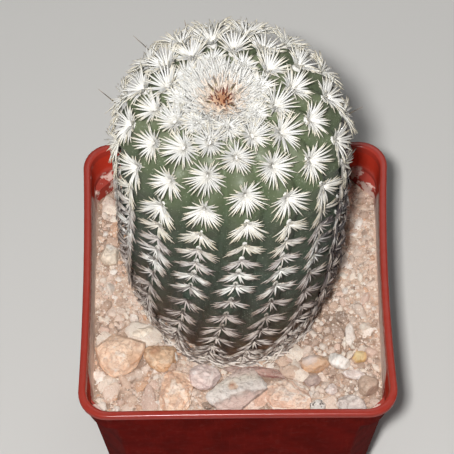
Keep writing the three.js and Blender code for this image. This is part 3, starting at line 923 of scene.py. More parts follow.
def makeSpineMaterial():
    material, shader, place = startMaterial("spineHorn", 0.42)
    along, age, tint = (attribute(shader, name) for name in spineLayers)
    mottle = effect("mottle", place, Scale=260)
    season = plus(age, waver(mottle["Broad"], 0.12))
    body = ramp(season, [(0.0, "fff6ec"), (0.14, "f0e6dc"), (0.24, "cec2ba"), (0.34, "b8aca6"),
                         (0.41, "c6beb8"), (0.455, "e8e6e0"), (0.51, "e2e0da"), (0.56, "c6beba"),
                         (0.6, "ccc6c0"), (0.64, "dcd6c8"), (0.72, "dbd9d3"), (1.0, "dcdcda")])
    tips = ramp(season, [(0.0, "a08c7e"), (0.3, "8a766c"), (0.5, "a8988c"), (0.58, "9c8c84"),
                         (0.66, "d4c8b0"), (0.76, "ddd4be"), (1.0, "e8e3d6")])
    horn = mixed(remap(plus(along, times(tint, 0.25)), 0.62, 1.1), body, tips)
    horn = coat(horn, "dacdb0", remap(tint, 0.7, 1.0, 0.0, 0.2))
    dark = times(remap(tint, 0.33, 0.22), remap(season, 0.66, 0.35, 0.05, 0.85))
    horn = coat(horn, "46342a", dark)
    # The roots are lighter: partly their own white bases, partly painted light over the shade in the comb's
    # middle.
    root = times(remap(along, 0.3, 0.05), remap(season, 0.6, 0.7))
    horn = coat(horn, "e6e3dc", root)
    # Painted shade: the spines on the side turned from the light are darkened to a grey-brown.
    x = plus(axes(place)["X"], times(mottle["Broad"], 8 * mm))
    side = times(remap(x, 20 * mm, 30 * mm), remap(season, 0.78, 0.62))
    horn = coat(horn, "30262a", times(side, remap(tint, 0.25, 0.85, 0.92, 0.15)))
    grime = effect("dust", place, Scale=700, Upward=0.2, Amount=0.5)["Mask"]
    horn = coat(horn, "7a675a", times(grime, remap(season, 0.42, 0.1, 0.0, 0.3)))
    rough = remap(season, 0.2, 0.7, 0.62, 0.4)
    feed(shader, Base_Color=horn, Roughness=rough, Normal=bumped(mottle["Fine"], 0.2, 0.08))
    return material


def makeSpines():
    material = makeSpineMaterial()
    seeded = random.Random(spine["seed"])
    for name, (low, high) in spineBands.items():
        whole = bmesh.new()
        for row in range(low, high):
            part = bmesh.new()
            layers = newLayers(part, *spineLayers)
            for rib in range(stem["ribs"]):
                if hasCluster(rib, row):
                    lines, thickness = clusterLines(rib, row, seeded)
                    addSpines(part, layers, lines, thickness, rows[row] / profileLength, seeded)
            pour(part, whole)
        finishPiece(name, whole, material)
        print("made", name)


makeSpines()


# Areoles: a small woolly cushion with a slit under each comb.
areole = {
    "size": (0.95, 1.5, 0.7),  # across, up and out
    "youngSize": (1.8, 2.0, 1.25),
    "young": (0.72, 0.95),  # from where to where up the stem they grow to that size
    "sink": 0.15,
    "crowded": 7,  # ribs narrower than this have narrower ones
    "slit": (0.28, 0.3),  # half width and depth
    "slitTo": (0.58, 0.45),  # it fades out between these shares of the way up
    "around": 10,
    "up": 6,
}


def makeWoolMaterial():
    material, shader, place = startMaterial("areoleWool", 0.9)
    mottle = effect("mottle", place, Scale=500)
    wool = ramp(attribute(shader, "age"), [(0.0, "8d7c6c"), (0.3, "9a8f84"), (0.48, "d6d1c8"),
                                           (0.58, "ebe8e3"), (1.0, "e8e6e1")])
    wool = coat(wool, "b8ad9f", remap(mottle["Fine"], 0.4, 0.75, 0, 0.15))
    # Painted shade: the wool is greyer down in the slit.
    wool = coat(wool, "8d8278", times(attribute(shader, "slit"), 0.4))
    feed(shader, Base_Color=wool, Normal=bumped(mottle["Fine"], 0.8, 0.4))
    return material


def makeAreoles():
    ball = bmesh.new()
    bmesh.ops.create_uvsphere(ball, u_segments=areole["around"], v_segments=areole["up"], radius=1)
    cushion = toMesh(ball, "cushion")
    bm = bmesh.new()
    ages, slits = newLayers(bm, "age", "slit")
    slitHalf, slitDepth = areole["slit"]
    for row, along in enumerate(rows[:-1]):
        share = along / profileLength
        young = easeIn(*areole["young"], share)
        width, height, depth = (between(a, b, young) for a, b in zip(areole["size"], areole["youngSize"]))
        narrow = min(1.0, 2 * pi * crestAt(along)[0] / stem["ribs"] / areole["crowded"])
        for rib in range(stem["ribs"]):
            if not hasCluster(rib, row):
                continue
            origin, across, upRib, out = stemFrame(along, rib * ribStep)
            for vert in addShape(bm, cushion):
                spot = vert.co.copy()
                groove = exp(-(spot.x / slitHalf) ** 2) * easeIn(0.2, 0.8, spot.z)
                groove *= easeIn(1.0, 0.6, abs(spot.y))
                groove *= easeIn(*areole["slitTo"], share)
                x, y = spot.x * width * narrow, spot.y * height * narrow
                z = spot.z * depth - areole["sink"] - slitDepth * groove
                vert.co = origin + across * x + upRib * y + out * z
                vert[ages], vert[slits] = share, groove
    finishPiece("areole_wool", bm, makeWoolMaterial())


makeAreoles()
print("areoles made")


# Foot: old spines matted in a ring where the stem meets the soil.
footRing = {
    "number": 840,
    "spread": (0.4, 3.8),
    "height": (0.4, 2.2),
    "length": (3.0, 6.5),
    "thickness": 0.28,
    "stray": 0.35,
    "tilt": 0.3,
    "slope": 0.5,  # how far the ring leans out as it rises
    "clear": 0.5,  # over the soil
    "ages": (0.0, 0.0, 0.02, 0.04, 0.22),
    "seed": 41,
}


def makeFootRing(material):
    seeded = random.Random(footRing["seed"])
    lowest = soilLevel + footRing["clear"]

    def addOldSpine(part, layers, number):
        angle = seeded.uniform(0, 2 * pi)
        spread = seeded.uniform(*footRing["spread"])
        height = seeded.uniform(*footRing["height"])
        away = toward(angle)
        along = Vector((cos(angle), sin(angle), 0)) * seeded.choice((-1, 1))
        radius = stem["baseRadius"] + spread + height * footRing["slope"]
        middle = axisAt(0) + away * radius + Vector((0, 0, height))
        heading = along + away * seeded.gauss(0, footRing["stray"])
        heading.z += seeded.gauss(0, footRing["tilt"])
        half = heading.normalized() * seeded.uniform(*footRing["length"]) / 2
        sag = away * half.length ** 2 / (2 * radius)
        start, end = middle - half - sag, middle + half - sag
        start.z, end.z = max(start.z, lowest), max(end.z, lowest)
        age = seeded.choice(footRing["ages"])
        addSpines(part, layers, [(start, middle, end, away)], footRing["thickness"], age, seeded)

    whole = bmesh.new()
    pourBatches(whole, range(footRing["number"]), addOldSpine, *spineLayers)
    finishPiece("foot_ring", whole, material)


makeFootRing(bpy.data.materials["spineHorn"])
print("foot ring made")


# Crown: a woolly middle, tangled hairs, and young spines with dark red-brown tips.
crownTuft = {
    "woolRadius": (8.5, 8.5, 1.7),
    "woolLumps": (2.4, 0.6),  # scale and height
    "hairs": 1100,
    "hairSpread": 11.5,
    "hairLength": (1.8, 3.6),
    "hairThickness": 0.3,
    "hairSides": 3,
    "hairSegments": 3,
    "hairTip": 0.2,  # as a share of its root
    "hairLean": 0.8,
    "hairRise": (0.35, 1),
    "hairBend": 0.35,
    "woolSeed": 23,
    "youngSpines": 600,
    "youngSpread": 10,
    "youngLength": (2.8, 5.2),
    "youngThickness": (0.3, 0.42),  # at the middle and at the rim
    "lean": (0.1, 1.4),  # outwards, at the middle and at the rim
    "leanCurve": 0.7,
    "youngRise": (1.0, 0.5),
    "youngSway": (0.35, 0.25),
    "youngShort": (0.6, 1.0),
    "youngTones": (0, 0.7),
    "youngRoot": 0.4,  # out from the skin
    "youngArch": 0.35,
    "packing": 0.6,  # how they crowd towards the middle
    "darkZone": (0.26, 0.7),
    "darkEvery": 15,  # which of the young spines there are dark
    "darkThickness": 0.32,
    "darkHeading": (0.4, 0.2),  # how steep, and how far they sway
    "darkRise": 2.0,
    "darkLength": 0.9,
    "darkTone": 0.95,
    "youngSeed": 31,
    "shift": (0.0, -1.2, 0.2),  # of the growing point, from the stem's own middle
    # start and end of each stray spine, in millimetres
    "strays": (((-17, 17.5, 165), (-26.5, 27, 167)), ((-30.5, 18, 146), (-36.5, 21.5, 150)),
               ((27.5, 13, 147), (34, 15, 150)), ((-11.5, 24, 167), (-13, 29, 171))),
    "strayThickness": 0.17,
    "strayArch": 0.3,
    "strayLooks": (0.3, 0.9),  # age and tone
}


def crownPlace(distance, angle):  # a point of the crown near the growing point, and its directions
    along = profileLength - distance
    origin, across, upRib, out = stemFrame(along, angle - turnAt(along))
    return origin + Vector(crownTuft["shift"]), across, -upRib, out


growingPoint = crownPlace(0.01, 0)[0]


def makeCrownMaterial():
    material, shader, place = startMaterial("crownWool", 0.85)
    mottle = effect("mottle", place, Scale=420)
    reach = plus(distanceTo(place, growingPoint * mm), waver(mottle["Broad"], 3 * mm))
    wool = ramp(spanned(reach, 0.0, 10 * mm), [(0.0, "54281c"), (0.1, "864a30"), (0.22, "b88a66"),
                                               (0.36, "dcc8b2"), (0.56, "e4e3df")])
    wool = coat(wool, "c9b8a8", remap(mottle["Fine"], 0.5, 0.8, 0, 0.2))
    feed(shader, Base_Color=wool, Normal=bumped(mottle["Fine"], 0.7, 0.3))
    return material


def makeCrownWool():
    seeded = random.Random(crownTuft["woolSeed"])
    hair = makeTaper(crownTuft["hairSides"], crownTuft["hairSegments"], crownTuft["hairTip"])
    scale, height = crownTuft["woolLumps"]
    bm = bmesh.new()
    bmesh.ops.create_icosphere(bm, subdivisions=5, radius=1)
    for vert in bm.verts:
        lumps = noise.fractal(vert.co * scale, 1.0, 2.0, 4) * height
        sizes = [radius + lumps for radius in crownTuft["woolRadius"]]
        vert.co = growingPoint + Vector(vert.co[i] * sizes[i] for i in range(3))

    def addHair(part, layers, number):
        distance = crownTuft["hairSpread"] * sqrt(seeded.random()) + 0.05
        origin, across, outward, out = crownPlace(distance, seeded.uniform(0, 360))
        length = seeded.uniform(*crownTuft["hairLength"])
        lean = Vector((seeded.gauss(0, 1), seeded.gauss(0, 1), 0)) * crownTuft["hairLean"]
        start = origin + out * 0.1
        heading = out * seeded.uniform(*crownTuft["hairRise"]) + across * lean.x + outward * lean.y
        end = start + heading.normalized() * length
        bend = anyWay(seeded) * crownTuft["hairBend"]
        heading = (end - start).normalized()
        first = heading.cross(Vector((0.3, 0.5, 0.8))).normalized()
        second = heading.cross(first)
        for vert in addShape(part, hair):
            x, y, t = vert.co
            centre = start.lerp(end, t) + bend * (4 * t * (1 - t))
            vert.co = centre + (first * x + second * y) * crownTuft["hairThickness"]

    pourBatches(bm, range(crownTuft["hairs"]), addHair)
    finishPiece("crown_wool", bm, makeCrownMaterial())


def makeYoungSpineMaterial():
    material, shader = startMaterial("youngSpine", 0.4)[:2]
    along, age, tint = (attribute(shader, name) for name in spineLayers)
    drift = waver(tint, 0.25)
    along = plus(along, drift)
    red = ramp(along, [(0.0, "a8744e"), (0.3, "965434"), (0.55, "70341f"), (1.0, "3a1a18")])
    dark = ramp(along, [(0.0, "f0e6da"), (0.22, "d8c4a0"), (0.36, "6c5c3c"), (0.8, "4a3a2a"),
                        (1.0, "a8917a")])
    cream = ramp(along, [(0.0, "e4dcd2"), (0.6, "e2d4c6"), (1.0, "ceb8a0")])
    white = ramp(along, [(0.0, "d8d7d4"), (0.8, "d7d5d0"), (1.0, "ccc4b6")])
    ring = plus(age, times(drift, 0.5))
    pale = mixed(remap(tint, 0.8, 0.84), cream, dark)
    horn = mixed(remap(ring, 0.12, 0.34), red, pale)
    feed(shader, Base_Color=mixed(remap(ring, 0.42, 0.62), horn, white))
    return material


def makeYoungSpines():
    seeded = random.Random(crownTuft["youngSeed"])
    nearest, furthest = crownTuft["darkZone"]
    swayAcross, swayOut = crownTuft["youngSway"]
    steep, darkSway = crownTuft["darkHeading"]
    bm = bmesh.new()
    layers = newLayers(bm, *spineLayers)
    for i in range(crownTuft["youngSpines"]):
        distance = crownTuft["youngSpread"] * ((i + 0.5) / crownTuft["youngSpines"]) ** crownTuft["packing"]
        origin, across, outward, out = crownPlace(distance, i * goldenTurn)
        share = distance / crownTuft["youngSpread"]
        length = seeded.uniform(*crownTuft["youngLength"]) * between(*crownTuft["youngShort"], share)
        heading = out * between(*crownTuft["youngRise"], share)
        heading += outward * between(*crownTuft["lean"], share ** crownTuft["leanCurve"])
        heading += across * seeded.gauss(0, swayAcross) + outward * seeded.gauss(0, swayOut)
        start = origin + out * crownTuft["youngRoot"]
        thickness = between(*crownTuft["youngThickness"], share)
        if nearest < share < furthest and i % crownTuft["darkEvery"] == 0:  # lies flat on the others
            heading = out * steep + outward + across * seeded.gauss(0, darkSway)
            start += out * crownTuft["darkRise"]
            length *= crownTuft["darkLength"]
            thickness = crownTuft["darkThickness"]
            tone = crownTuft["darkTone"]
        else:
            tone = seeded.uniform(*crownTuft["youngTones"])
        end = start + heading.normalized() * length
        middle = start.lerp(end, 0.5) + out * crownTuft["youngArch"]
        addSpines(bm, layers, [(start, middle, end, across)], thickness, share, seeded, tone)
    strayAge, strayTone = crownTuft["strayLooks"]
    for start, end in crownTuft["strays"]:
        start, end = Vector(start), Vector(end)
        middle = start.lerp(end, 0.5) + Vector((0, 0, crownTuft["strayArch"]))
        side = (end - start).cross(Vector((0, 0, 1))).normalized()
        line = (start, middle, end, side)
        addSpines(bm, layers, [line], crownTuft["strayThickness"], strayAge, seeded, strayTone)
    finishPiece("crown_spines", bm, makeYoungSpineMaterial())


makeCrownWool()
makeYoungSpines()
print("crown made")


# Stones: each a finer form of its solid, pressed, chipped or layered, with its own kind of finish.
stoneNames = [name for name in frame["nodes"] if name not in ("pot", "soil", "cactus")]
slotOf = {part["node"]: part["material_slot"] for part in frame["record"]["subparts"]}
stoneForms = {  # roughness of the surface, scale of its bumps, thickness of its layers, and chipped facets
    "chert_pebble": (0.2, 0.55, 0, 15),
    "tan_slab": (0.3, 0.7, 0.7, 9),
    "slate_slab": (0.3, 0.6, 0.5, 4),
    "brown_pebble": (0.32, 0.7, 0, 9),
    "pink_slab": (0.28, 0.6, 0.55, 8),
    "red_sliver": (0.12, 0.9, 0.4, 4),
    "flat_chip": (0.14, 0.9, 0.5, 6),
    "quartz_chip": (0.16, 0.9, 0, 12),
}
plainForm = (0.2, 0.8, 0, 10)
stone = {
    "edge": 0.42,
    "grow": 0.05,  # on each side, as a share of its width
    "facetDepth": (0.06, 0.3),
    "facetGive": 0.95,
    "smooth": 0.4,
    "shift": (7.3, 3.1),  # of the noise, from one stone to the next
    "pits": (1.3, 0.4),  # their scale beside the bumps, and how many there are
    "layerTilt": (0.05, 0.14),
    "layerEdge": (0.25, 0.75),
    "layerStep": 0.8,
    "layerWander": 0.8,
    "seed": 70,  # and the stone's number
}
stoneReach = {  # how much further some reach at the left, right, front and back, in mm
    "slate_slab": (0.8, 3.0, 0.2, 3.6),
    "red_sliver": (5.0, 0.2, 0.0, 2.0),
    "brown_pebble": (0.7, 0.9, 1.6, 0.8),
    "quartz_chip": (0.6, 0.7, 0.5, 0.5),
    "orange_stone": (0.5, 0.4, 0.4, 0.6),
    "round_stone": (0.4, 0.4, 0.5, 0.7),
    "pink_slab": (0.6, 0.3, 0.0, 0.8),
}
stoneFinishes = {  # deep, main, light and vein colours, roughness and scale of the patches
    "tan_stone": ("e2a67c", "fcd6b6", "fff4e8", "b8785a", 0.6, 190),
    "brown_stone": ("98796a", "bc9f8a", "dcc8b4", "bf8c68", 0.65, 260),
    "pale_stone": ("dcbfa2", "f6e8d4", "fffaf0", "b0947a", 0.65, 220),
    "orange_stone": ("c48a60", "dfae84", "f2d6bc", "f2e0d4", 0.45, 260),
    "quartz": ("f2ece4", "fff9f0", "fffdf8", "d6cabc", 0.35, 260),
    "toffee": ("cc9468", "e6b88c", "f8dec0", "a8744c", 0.6, 230),
    "blush": ("e4cfc6", "f8e9e2", "ffffff", "c8aaa0", 0.5, 260),
    "mauve": ("9a827c", "bba49c", "dccac2", "856a62", 0.6, 260),
    "lilac_stone": ("dcc0bc", "f8e2dc", "fff8f4", "bc948c", 0.6, 260),
    "grey_stone": ("beb0a8", "e6ddd6", "fcf8f4", "946460", 0.65, 200),
    "red_stone": ("6e322e", "96524a", "cc9e92", "eadcd2", 0.6, 300),
    "pink_stone": ("e2a888", "f6d6be", "fff8f0", "b47458", 0.6, 210),
}
finishOf = {  # others have the finish of their slot
    "blush_pebble": "blush",
    "flat_chip": "blush",
    "brown_pebble": "toffee",
    "mauve_stone": "mauve",
}
slateBeds = {  # from the front edge to the back, in lines that rise to the right
    "lean": 0.3,
    "colours": ((0.0, "c8968c"), (0.2, "cfa49a"), (0.27, "8e6c66"), (0.33, "ece8e4"), (0.52, "dcd8d2"),
                (0.7, "d2cab8"), (0.84, "caa49a"), (1.0, "a06058")),
    "crack": (-0.6, -37.9, 0.83, 0.28),  # a point on it, its slope and half its width in mm
}
# where across the stone, from its lowest corner, the size in mm, and the colours of edge and middle
stoneStains = {
    "slate_slab": (0.46, 0.74, 1.2, "c09a7c", "a86238"),
    "chert_pebble": (0.9, 0.25, 3.0, "dca67c", "c07c4c"),
    "brown_pebble": (0.3, 0.7, 1.6, "c08a5c", "b87848"),
    "orange_stone": (0.2, 1.0, 2.6, "f2dcd0", "f4e4dc"),
    "amber_pebble": (0.5, 0.5, 2.2, "ecc070", "f6dca0"),
}


def bedTheSlate(place, rock, colour):
    x, y = axes(place)[:2]
    low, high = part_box("slate_slab")
    wander = waver(rock["Patches"], 4 * mm)
    leaning = plus(minus(y, times(x, slateBeds["lean"])), wander)
    back = high.y + stoneReach["slate_slab"][3] * mm
    colour = mixed(0.6, colour, ramp(spanned(leaning, low.y, back), slateBeds["colours"]))
    atX, atY, slope, half = slateBeds["crack"]
    line = plus(times(minus(x, atX * mm), slope), atY * mm)
    beyond = plus(minus(line, y), times(wander, 0.4))
    pink = mixed(remap(rock["Blocks"], 0.2, 0.8), paint("eab89c"), paint("f8dccb"))
    colour = mixed(remap(beyond, 0.0, 0.3 * mm, 0, 0.85), colour, pink)
    crack = remap(absolute(beyond), half * 1.6 * mm, half * 0.5 * mm, 0, 0.85)
    return coat(colour, "5c3c34", crack)


def stain(name, place, rock, colour):
    x, y, size, rim, middle = stoneStains[name]
    low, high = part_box(name)
    at = Vector((between(low.x, high.x, x), between(low.y, high.y, y), high.z))
    away = plus(distanceTo(place, at), waver(rock["Patches"], 3 * mm))
    colour = coat(colour, rim, remap(away, size * 1.4 * mm, size * mm, 0, 0.8))
    return coat(colour, middle, remap(away, size * mm, size * 0.5 * mm, 0, 0.85))


def makeStoneMaterial(name, layered):
    deep, main, light, vein, roughness, scale = stoneFinishes[finishOf.get(name, slotOf[name])]
    material, shader, place = startMaterial(name + "Finish", roughness)
    rock = effect("rock", place, Scale=scale)
    colour = ramp(rock["Patches"], [(0.3, deep), (0.44, main), (0.56, main), (0.7, light)])
    if layered:
        tilted = noiseAt(stretched(place, (90, 90, 1900), (0.12, 0.08, 0)), 1.0, 2)
        beds = ramp(tilted, [(0.3, vein), (0.42, deep), (0.5, main), (0.6, light)])
        colour = mixed(0.6, colour, beds)
    shade = remap(rock["Blocks"], 0.0, 1.0, 0.88, 1.08)
    lit = put(treeOf(shade), "CombineColor", {0: shade, 1: shade, 2: shade}).outputs[0]
    colour = mixed(1.0, colour, lit, "MULTIPLY")
    colour = coat(colour, vein, times(rock["Veins"], 0.4))
    colour = coat(colour, light, remap(rock["Grain"], 0.5, 0.72, 0, 0.55))
    colour = coat(colour, deep, remap(rock["Grain"], 0.48, 0.3, 0, 0.45))
    if name == "slate_slab":
        colour = bedTheSlate(place, rock, colour)
    if name in stoneStains:
        colour = stain(name, place, rock, colour)
    if name == "spotted_pebble":
        colour = coat(colour, "5a504a", effect("specks", place, Scale=900, Size=0.42, Share=0.6)["Mask"])
    dust = effect("dust", place, Scale=350, Upward=0.6, Amount=0.5)["Mask"]
    dusty = 0.08 if slotOf[name] == "quartz" else 0.3
    colour = coat(colour, "e8d4c0", times(dust, dusty))
    relief = minus(plus(rock["Grain"], times(rock["Blocks"], 0.5)), times(rock["Veins"], 0.4))
    feed(shader, Base_Color=colour, Normal=bumped(relief, 0.8, 0.4))
    return material


def chipFacets(bm, seeded, count):  # flat chips knocked off a stone, but not off its underside
    low, high = extent(bm)
    middle = (low + high) / 2
    for i in range(count):
        normal = Vector((seeded.gauss(0, 1), seeded.gauss(0, 1), abs(seeded.gauss(0, 0.8)))).normalized()
        reach = max((v.co - middle).dot(normal) for v in bm.verts)
        plane = reach * (1 - seeded.uniform(*stone["facetDepth"]))
        for vert in bm.verts:
            excess = (vert.co - middle).dot(normal) - plane
            if excess > 0:
                vert.co -= normal * excess * stone["facetGive"]


def fitTo(bm, corners):  # stretch a mesh into a box
    low, high = extent(bm)
    for vert in bm.verts:
        share = [(vert.co[i] - low[i]) / (high[i] - low[i]) for i in range(3)]
        vert.co = [between(corners[0][i], corners[1][i], share[i]) for i in range(3)]


def makeFineStone(name, number):
    roughness, scale, layer, facets = stoneForms.get(name, plainForm)
    seeded = random.Random(stone["seed"] + number)
    everyWay = {"use_axis_x": True, "use_axis_y": True, "use_axis_z": True}
    bm = bmesh.new()
    bm.from_mesh(frame["nodes"][name].data)
    bmesh.ops.scale(bm, vec=(1 / mm,) * 3, verts=bm.verts)
    bmesh.ops.remove_doubles(bm, verts=bm.verts, dist=0.005)
    while sum(edge.calc_length() for edge in bm.edges) / len(bm.edges) > stone["edge"]:
        bmesh.ops.subdivide_edges(bm, edges=bm.edges, cuts=1, use_grid_fill=True)
        bmesh.ops.smooth_vert(bm, verts=bm.verts, factor=stone["smooth"], **everyWay)
    chipFacets(bm, seeded, facets)
    bm.normal_update()
    low, high = (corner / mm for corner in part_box(name))
    left, right, front, back = stoneReach.get(name, (0, 0, 0, 0))
    wide = (high - low) * stone["grow"]
    low -= Vector((wide.x + left, wide.y + front, 0))
    high += Vector((wide.x + right, wide.y + back, 0))
    fitTo(bm, (low, high))
    offset = Vector((number * stone["shift"][0], number * stone["shift"][1], 0))
    pitScale, pitLevel = stone["pits"]
    tiltX, tiltY = stone["layerTilt"]
    for vert in bm.verts:
        here = vert.co + offset
        push = noise.fractal(here * scale, 1.0, 2.0, 4) * roughness
        push += (noise.voronoi(here * scale * pitScale)[0][0] - pitLevel) * roughness
        vert.co += vert.normal * push * min(1.0, 0.1 + (vert.co.z - low.z))
        if layer:
            wander = noise.noise(Vector((here.x * 0.3, here.y * 0.3, 0))) * stone["layerWander"]
            step = (vert.co.z - low.z + here.x * tiltX + here.y * tiltY) / layer + wander
            share = step % 1
            drop = (easeIn(*stone["layerEdge"], share) - share) * layer * stone["layerStep"]
            vert.co.z += drop * min(1.0, vert.co.z - low.z)
    fitTo(bm, (low, high))
    finishPiece(name + "_fine", bm, makeStoneMaterial(name, layer > 0), [name], sharpAngle=38)


for number, name in enumerate(stoneNames):
    makeFineStone(name, number)
print("stones made")


# Soil: a bumpy bed that fills the pot, with gravel and grit half sunk in it.
bed = {
    "cells": 190,
    "rise": 0.2,  # of the bed over the soil's level
    "swell": (0.055, 0.5),  # scale and height of the broad unevenness
    "bumps": (0.45, 0.55),
    "crumbs": (0.9, 0.5),
    "overlap": 0.25,  # into the pot's wall
    "foot": 3,
    "underStone": 0.45,
    # how far from a stone the painted shade round it reaches
    "creviceShade": 1.6,
    "nearStone": 1.5,
    "pitShade": (0.1, -0.5),  # of the painted shade in pits: from and to which height, from the rise
}
gravel = {
    "shapes": 16,
    "number": 900,
    "size": (1.8, 5.6),
    "favour": 1.5,
    "spacing": 0.44,
    "crowding": 0.75,
    "sunk": 0.03,
    "detail": 2,
    "sharp": 34,
    "seed": 51,
}
grit = {
    "shapes": 12,
    "number": 8600,
    "size": (0.45, 1.55),
    "favour": 1.9,
    "sunk": 0.02,
    "detail": 1,
    "sharp": 24,
    "seed": 52,
}
rubble = {  # place, length, width and height in mm, turn, and which colour of the soil's
    "cream_left": (-27.8, -10.4, 14.0, 9.5, 3.8, -20, 0.57),
    "peach_back": (-37.4, 32.6, 5.4, 7.6, 3.0, 10, 0.57),
    "orange_side": (-35.6, 23.6, 3.0, 9.0, 2.4, 5, 0.84),
    "pink_front": (-24.8, -32.2, 5.8, 10.0, 2.6, 8, 0.37),
    "pale_corner": (-35.4, -29.6, 6.2, 5.2, 2.4, 30, 0.26),
    "white_low": (-39.3, -24.6, 4.8, 3.8, 2.2, 0, 0.9),
    "pale_under": (-31.2, -25.2, 6.0, 3.8, 2.0, 10, 0.47),
    "tan_low": (-30.4, -32.0, 4.6, 5.4, 2.2, -20, 0.02),
    "white_corner": (-38.6, -33.8, 3.8, 3.4, 2.0, 0, 0.9),
    "tan_small": (25.8, -33.8, 5.2, 4.6, 2.2, 10, 0.26),
    "white_pebble": (20.6, -31.6, 3.4, 3.0, 2.0, 0, 0.9),
    "pale_end": (38.6, -33.0, 3.8, 3.4, 2.0, 0, 0.47),
    "cream_edge": (-38.2, -15.6, 5.6, 10.5, 2.2, 0, 0.56),
    "white_long": (32.6, -10.8, 3.4, 8.8, 2.4, -5, 0.92),
    "white_pair": (37.6, -10.9, 4.0, 3.4, 2.2, 20, 0.9),
    "cream_foot": (16.2, -17.6, 5.4, 5.8, 2.4, 40, 0.57),
    "white_first": (20.0, -16.2, 1.9, 1.7, 1.2, 0, 0.93),
    "white_second": (22.8, -16.2, 1.9, 1.7, 1.2, 30, 0.93),
    "pink_chip": (26.9, -17.2, 2.8, 2.6, 1.6, 20, 0.35),
    "white_sliver": (9.2, -22.4, 4.6, 3.0, 1.5, 15, 0.88),
    "tan_lump": (15.0, -24.2, 5.4, 5.0, 2.2, -30, 0.02),
}
lump = {  # the form of the rubble
    "seed": 61,
    "detail": 4,
    "rise": 0.12,  # of its middle over the soil, as a share of its height
    "bumps": (0.6, 0.35),
}
chip = {  # one stone of gravel or grit, a unit across
    "planes": 11,
    "planeAt": (0.62, 1.0),
    "sharpness": (9, 14, 20),
    "reach": (0.5, 1.35),
    "width": (0.6, 0.95),
    "thickness": (0.35, 0.75),
    "tilt": 0.3,
    "tries": 40,
    "cell": 5,
}
clearance = {  # how far a chip keeps off, as a share of its size
    "corner": 0.7,
    "wall": 0.45,
    "stone": 0.2,
    "rubble": 0.42,  # of the rubble's own size
    "underStem": 1,  # in mm
}
bareGround = {  # where gravel is sparse: across and back, over what stretch, and how sparse
    "right": ((12, 26), (-24, -14), 0.93),
    "left": ((-24, -30), (-14, -6), 0.75),
}
stoneSpots = []
for name in stoneNames:
    low, high = (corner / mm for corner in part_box(name))
    middle = ((low.x + high.x) / 2, (low.y + high.y) / 2)
    stoneSpots.append((*middle, (high.x - low.x) / 2, (high.y - low.y) / 2))


def stoneGap(x, y):  # roughly how far outside the nearest stone's edge
    gap = 99
    for cx, cy, halfX, halfY in stoneSpots:
        away = hypot((x - cx) / halfX, (y - cy) / halfY) - 1
        gap = min(gap, away * min(halfX, halfY))
    return gap


def bedHeight(x, y):
    scale, height = bed["swell"]
    swell = noise.noise(Vector((x * scale, y * scale, 0.5))) * height * 2
    scale, height = bed["bumps"]
    bumps = noise.fractal(Vector((x * scale, y * scale, 2.5)), 0.8, 2.0, 4) * height
    scale, height = bed["crumbs"]
    bumps += (0.45 - noise.voronoi(Vector((x, y, 4)) * scale)[0][0]) * height
    near = easeIn(bed["nearStone"], 0.0, stoneGap(x, y))
    return soilLevel + between(bed["rise"] + swell + bumps, bed["underStone"] + 0.2, near)


def coarseness(x, y):  # 1 at the front and in the middle
    coarse = 1
    for across, back, sparse in bareGround.values():
        coarse -= sparse * (easeIn(*across, x) * easeIn(*back, y))
    return max(0.07, coarse)


soilColours = [(0.0, "d6b69e"), (0.12, "b4937c"), (0.24, "ecd8c8"), (0.36, "dcbcac"), (0.46, "cdbcae"),
               (0.54, "f8efe0"), (0.64, "a08270"), (0.72, "e4dace"), (0.8, "d8a47c"), (0.84, "fffaf2"),
               (0.93, "7c6252")]


def makeSoilMaterial(name, sheen, bedding=False):
    material, shader, place = startMaterial(name, 0.85)
    tint = attribute(shader, "tint")
    mottle = effect("mottle", place, Scale=300)
    rock = effect("rock", place, Scale=310)
    soil = ramp(rock["Blocks"] if bedding else tint, soilColours, "CONSTANT")
    if bedding:
        soil = mixed(0.65, soil, paint("c2a48c"))
    soil = coat(soil, "dcc0ac", remap(rock["Patches"], 0.35, 0.65, 0, 0.4))
    soil = coat(soil, "fdf6ec", remap(rock["Grain"], 0.52, 0.72, 0, 0.8))
    soil = coat(soil, "8a6c58", remap(rock["Grain"], 0.47, 0.3, 0, 0.6))
    grains = effect("specks", place, Scale=1300, Size=0.42, Share=0.32)["Mask"]
    soil = coat(soil, "f6efe6", times(grains, 0.7))
    dust = effect("dust", place, Scale=260, Upward=0.4, Amount=0.5)["Mask"]
    soil = coat(soil, "e6ccb8", times(dust, 0.3))
    if bedding:
        # Painted shade: the bed is darker in its pits and round the stones.
        soil = coat(soil, "7c5f4a", times(tint, 0.65))
    rough = remap(tint, 0.5, 1.0, 0.9, sheen)
    relief = plus(mottle["Fine"], times(rock["Grain"], 0.8))
    feed(shader, Base_Color=soil, Roughness=rough, Normal=bumped(relief, 0.9, 0.4))
    return material


